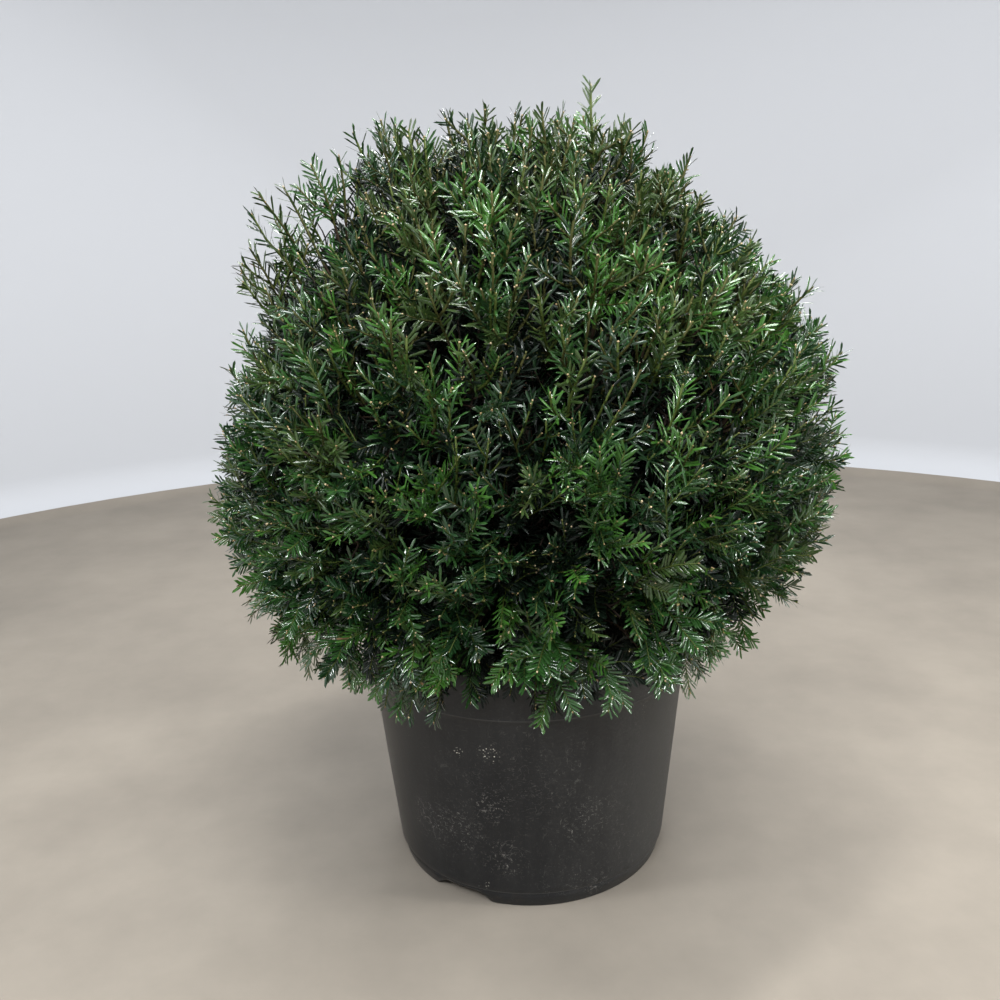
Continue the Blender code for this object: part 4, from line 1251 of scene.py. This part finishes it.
def growBuds(shoots, stemRadii, random):
    # buds at the tips and along the shoots, and pale ends where shears have cut
    tips = shoots["controls"][:, 3]
    count = len(tips)
    ways = bezierWays(shoots["controls"], np.ones((count, 1)))[:, 0]
    cut = random.uniform(0.0, 1.0, count) < between(growth["clipped"], uprightShare(shoots))
    parts = [(
        tips + ways * budForms["past"],
        ways,
        np.where(cut, stemRadii * budForms["cutWidth"], random.uniform(*budForms["tipRadius"], count)),
        np.where(cut, budForms["cutHalf"], random.uniform(*budForms["tipHalf"], count)),
        np.where(cut, cutCream, random.choice(budForms["kinds"], count, p=budForms["tipShares"])),
    )]
    for chance, low, high in budForms["rows"]:
        pick = np.nonzero(random.uniform(0.0, 1.0, count) < chance)[0]
        place, along = placesOn(shoots, pick, random.uniform(low, high, len(pick)))
        aside = across(random.normal(0.0, 1.0, (len(pick), 3)), along)
        parts.append((
            place + aside * (stemRadii[pick] + budForms["aside"])[:, None],
            unitRows(along + budForms["lean"] * aside),
            random.uniform(*budForms["radius"], len(pick)),
            random.uniform(*budForms["half"], len(pick)),
            random.choice(budForms["kinds"], len(pick), p=budForms["shares"]),
        ))
    return parts


def growWood(mass, waySets, random):
    # stem, twigs and branchlets of one mass: their tubes, and the joints that shoots can leave from
    stem = stemControls(mass)
    joints = alongCurves(stem, 0.33, 1.0, 3)
    ways = ownWays(waySets["twigs"], mass)
    twigs = growTwigs(joints, ways, growth["twigDepth"])
    joints = np.concatenate((joints, alongCurves(twigs, 0.10, 0.92, 22)))
    ways = ownWays(waySets["branchlets"], mass)
    branchlets = growTwigs(joints, ways, random.uniform(*growth["branchletTips"], len(ways)))
    branchlets = branchlets[curvesClear(branchlets, 0.0)]
    joints = np.concatenate((joints, alongCurves(branchlets, 0.10, 0.97, 12)))
    stemRadius = np.full(1, wood["tipRadius"] if onTrunk(mass) else wood["boughTip"])
    twigRadius = np.full(len(twigs), growth["twigRadius"])
    branchletRadius = np.full(len(branchlets), growth["branchletRadius"])
    tubes = [
        twigTubes(stem, tapered(stemRadius, 1.0, 0.7, 12), 1.0, twigOld, twigOld),
        twigTubes(twigs, tapered(twigRadius, 1.0, 0.45, 16), 1.0, twigOld, twigOld),
        twigTubes(branchlets, tapered(branchletRadius, 1.0, 0.55, 8), 0.7, twigOld, twigBrown),
    ]
    return tubes, joints


def buildMass(mass, waySets, materials):
    # one mass: its stem, twigs and branchlets, the shoots on them, and their needles and buds
    name = masses[mass][0]
    random = np.random.default_rng((crown["seed"], mass, 1))
    tubes, joints = growWood(mass, waySets, random)
    needleParts, needleNormals, buds = [], [], []
    for key in ("outer", "inner"):
        kind, isOuter = growth[key], key == "outer"
        leaders = growShoots(kind, mass, ownWays(waySets[key], mass), joints, random)
        followers = growSideShoots(kind, leaders, random)
        shoots = {part: np.concatenate((leaders[part], followers[part])) for part in leaders}
        clear = curvesClear(shoots["controls"], 0.05)
        shoots = {part: value[clear] for part, value in shoots.items()}
        dealt = dealTints(shoots, isOuter, random)
        part, normals = growNeedles(shoots, kind, needleShapes[key], dealt, random)
        needleParts.append(part)
        needleNormals.append(normals)
        height = shoots["ways"][:, 2]
        young = np.where(height + random.normal(0.0, 0.30, len(height)) > 0.50, stemOlive, stemGreen)
        young = young if isOuter else np.full(len(height), twigOld)
        thick = uprightShare(shoots) * smoothStep(height, 0.0, 0.6)
        radii = between(kind["radius"], thick) * shoots["scale"] ** 2
        tubes.append(twigTubes(shoots["controls"], tapered(radii, 1.25, 0.85, kind["rings"]),
                               shoots["bare"][:, None] - 0.12, twigBrown, young[:, None]))
        if isOuter:
            buds = growBuds(shoots, radii, random)

    points, faces, dealt = stacked(needleParts)
    needles = makePiece(f"{name}_needles", points, faces, materials["needles"], tints=dealt,
                        normals=np.vstack(needleNormals))
    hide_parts(name)
    points, faces, dealt = stacked(tubes)
    twigPiece = makePiece(f"{name}_twigs", points, faces, materials["stems"], tints=dealt)
    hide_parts(name)
    return needles, twigPiece, buds


def trianglesOf(pieces):
    # over all the pieces
    for piece in pieces:
        piece.data.calc_loop_triangles()
    return sum(len(piece.data.loop_triangles) for piece in pieces)


def buildFoliage():
    # the masses, and one piece for the buds and cut ends of all
    materials = {key: tintMaterials(rows) for key, rows in tints.items()}
    seed = crown["seed"]
    waySets = {
        "twigs": spreadWays(growth["twigs"], seed + 1),
        "branchlets": spreadWays(growth["branchlets"], seed + 3),
        "outer": spreadWays(growth["outer"]["count"], seed + 4, 0.035),
        "inner": spreadWays(growth["inner"]["count"], seed + 5),
    }
    grown = [buildMass(mass, waySets, materials) for mass in range(len(masses))]
    needles, twigs, buds = zip(*grown)
    *forms, dealt = (np.concatenate(part) for part in zip(*sum(buds, [])))
    points, faces = lozenges(*forms)
    piece = makePiece("buds_and_cut_ends", points, [faces], materials["buds"], tints=[np.repeat(dealt, 8)])
    print("foliage:", trianglesOf(needles), "needle triangles,", trianglesOf(twigs), "twig triangles,",
          len(faces), "bud triangles")


studio = {
    "radius": 2.4,
    "wallHeight": 3.2,
    "cove": 0.12,
    "floorRings": (0.4, 1.0, 1.7),
    "coveRings": 9,
    "floorRows": 6,  # rows of faces that take the floor's material
    "columns": 96,
    "floor": (0.243, 0.215, 0.178),
    "clouds": 0.80,  # the floor's darker share
    "wall": (0.500, 0.514, 0.542),
    "sky": (0.93, 0.96, 1.0),
    "skyStrength": 0.10,
    "lights": (  # name, place, aimed at, width, depth, watts, colour
        ("overhead", (0.15, -0.20, 2.50), (0.0, 0.0, 0.5), 1.6, 0.10, 43.0, (1.0, 0.99, 0.97)),
        ("frontAbove", (0.10, -1.15, 2.30), (0.0, 0.0, 0.5), 1.7, 0.07, 45.0, (0.97, 0.985, 1.0)),
        ("frontWindow", (-0.30, -1.75, 1.65), (0.0, 0.0, 0.4), 1.3, 0.07, 35.0, (0.97, 0.985, 1.0)),
        ("backAbove", (-0.15, 1.10, 2.30), (0.0, 0.0, 0.5), 1.7, 0.14, 18.0, (0.97, 0.985, 1.0)),
        ("backWindow", (0.35, 1.75, 1.60), (0.0, 0.0, 0.4), 1.3, 0.14, 18.0, (0.97, 0.985, 1.0)),
        ("rightWindow", (1.70, -0.65, 1.50), (0.0, 0.0, 0.45), 0.22, 1.1, 20.0, (1.0, 0.975, 0.93)),
        ("leftWindow", (-1.70, -0.70, 1.50), (0.0, 0.0, 0.45), 0.22, 1.1, 10.0, (0.95, 0.975, 1.0)),
    ),
}


def buildStage():
    # one turned surface: floor, quarter-round cove and wall
    turn = np.linspace(0.0, math.pi / 2, studio["coveRings"])
    radius = np.concatenate((studio["floorRings"], studio["radius"] - studio["cove"] * (1 - np.sin(turn)),
                             (studio["radius"],)))
    height = np.concatenate((np.zeros(len(studio["floorRings"])), studio["cove"] * (1 - np.cos(turn)),
                             (studio["wallHeight"],)))
    columns = studio["columns"]
    grid = aroundZ(radius[:, None], height[:, None], turns(columns))
    points = np.vstack((grid.reshape(-1, 3), (0, 0, 0)))
    faces = [gridFaces(len(radius), columns)[:, ::-1], fanFaces(np.arange(columns), len(points) - 1)]
    isWall = np.arange(len(radius) - 1) >= studio["floorRows"]
    dealt = [np.repeat(isWall, columns).astype(int), np.zeros(columns, int)]
    materials = [floorMaterial(), plainMaterial("paleBackdrop", studio["wall"], 0.9)]
    mesh = makeMesh("studio_floor", points, faces, materials, tints=dealt)


def floorMaterial():
    # pale concrete with faint clouds
    material = plainMaterial("paleFloor", studio["floor"], 0.75)
    tree = material.node_tree
    darker = tuple(studio["clouds"] * share for share in studio["floor"])
    clouds = patternOf(tree, 3.5, 6.0, 0.62, 0.35, 0.68)
    return dress(material, mixColours(tree, clouds, studio["floor"], darker))


def aimed(place, target):
    # the light's own -Z towards the target, its X level
    back = unitRows(np.array(place) - np.array(target))
    side = unitRows(np.cross((0.0, 0.0, 1.0), back))
    turned = np.eye(4)
    turned[:3, :3] = np.stack((side, np.cross(back, side), back), axis=1)
    turned[:3, 3] = place
    return Matrix(turned.tolist())


def buildLights():
    # long narrow windows, for thin bright lines on the needles, in a dim even sky
    for name, place, target, width, depth, watts, colour in studio["lights"]:
        light = bpy.data.lights.new(name, "AREA")
        light.shape = "RECTANGLE"
        light.size, light.size_y = width, depth
        light.energy = watts
        light.color = colour
        item = bpy.data.objects.new(name, light)
        item.matrix_world = aimed(place, target)
        item.visible_camera = False
        bpy.context.scene.collection.objects.link(item)
    world = bpy.data.worlds.new("softSky")
    world.use_nodes = True
    sky = world.node_tree.nodes["Background"]
    sky.inputs["Color"].default_value = (*studio["sky"], 1.0)
    sky.inputs["Strength"].default_value = studio["skyStrength"]
    bpy.context.scene.world = world


camera = {"place": (-0.0294, -1.26, 0.812), "pitch": 14.7, "roll": -1.94, "lens": 36.0, "sensor": 36.0}


def buildCamera():
    # turned up from straight down by 90 degrees less the pitch, then rolled about its own axis
    data = bpy.data.cameras.new("view")
    data.lens = camera["lens"]
    data.sensor_width = camera["sensor"]
    item = bpy.data.objects.new("view", data)
    item.matrix_world = (Matrix.Translation(camera["place"])
                         @ Matrix.Rotation(math.radians(90.0 - camera["pitch"]), 4, "X")
                         @ Matrix.Rotation(math.radians(camera["roll"]), 4, "Z"))
    bpy.context.scene.collection.objects.link(item)
    bpy.context.scene.camera = item
    settings = bpy.context.scene.view_settings
    settings.view_transform = "Standard"
    settings.look = "None"


buildStage()
buildLights()
buildCamera()
print("studio ready")
buildPot()
buildCompost()
buildChips()
print("container and compost ready")
buildWood()
print("trunk and boughs ready")
buildFoliage()
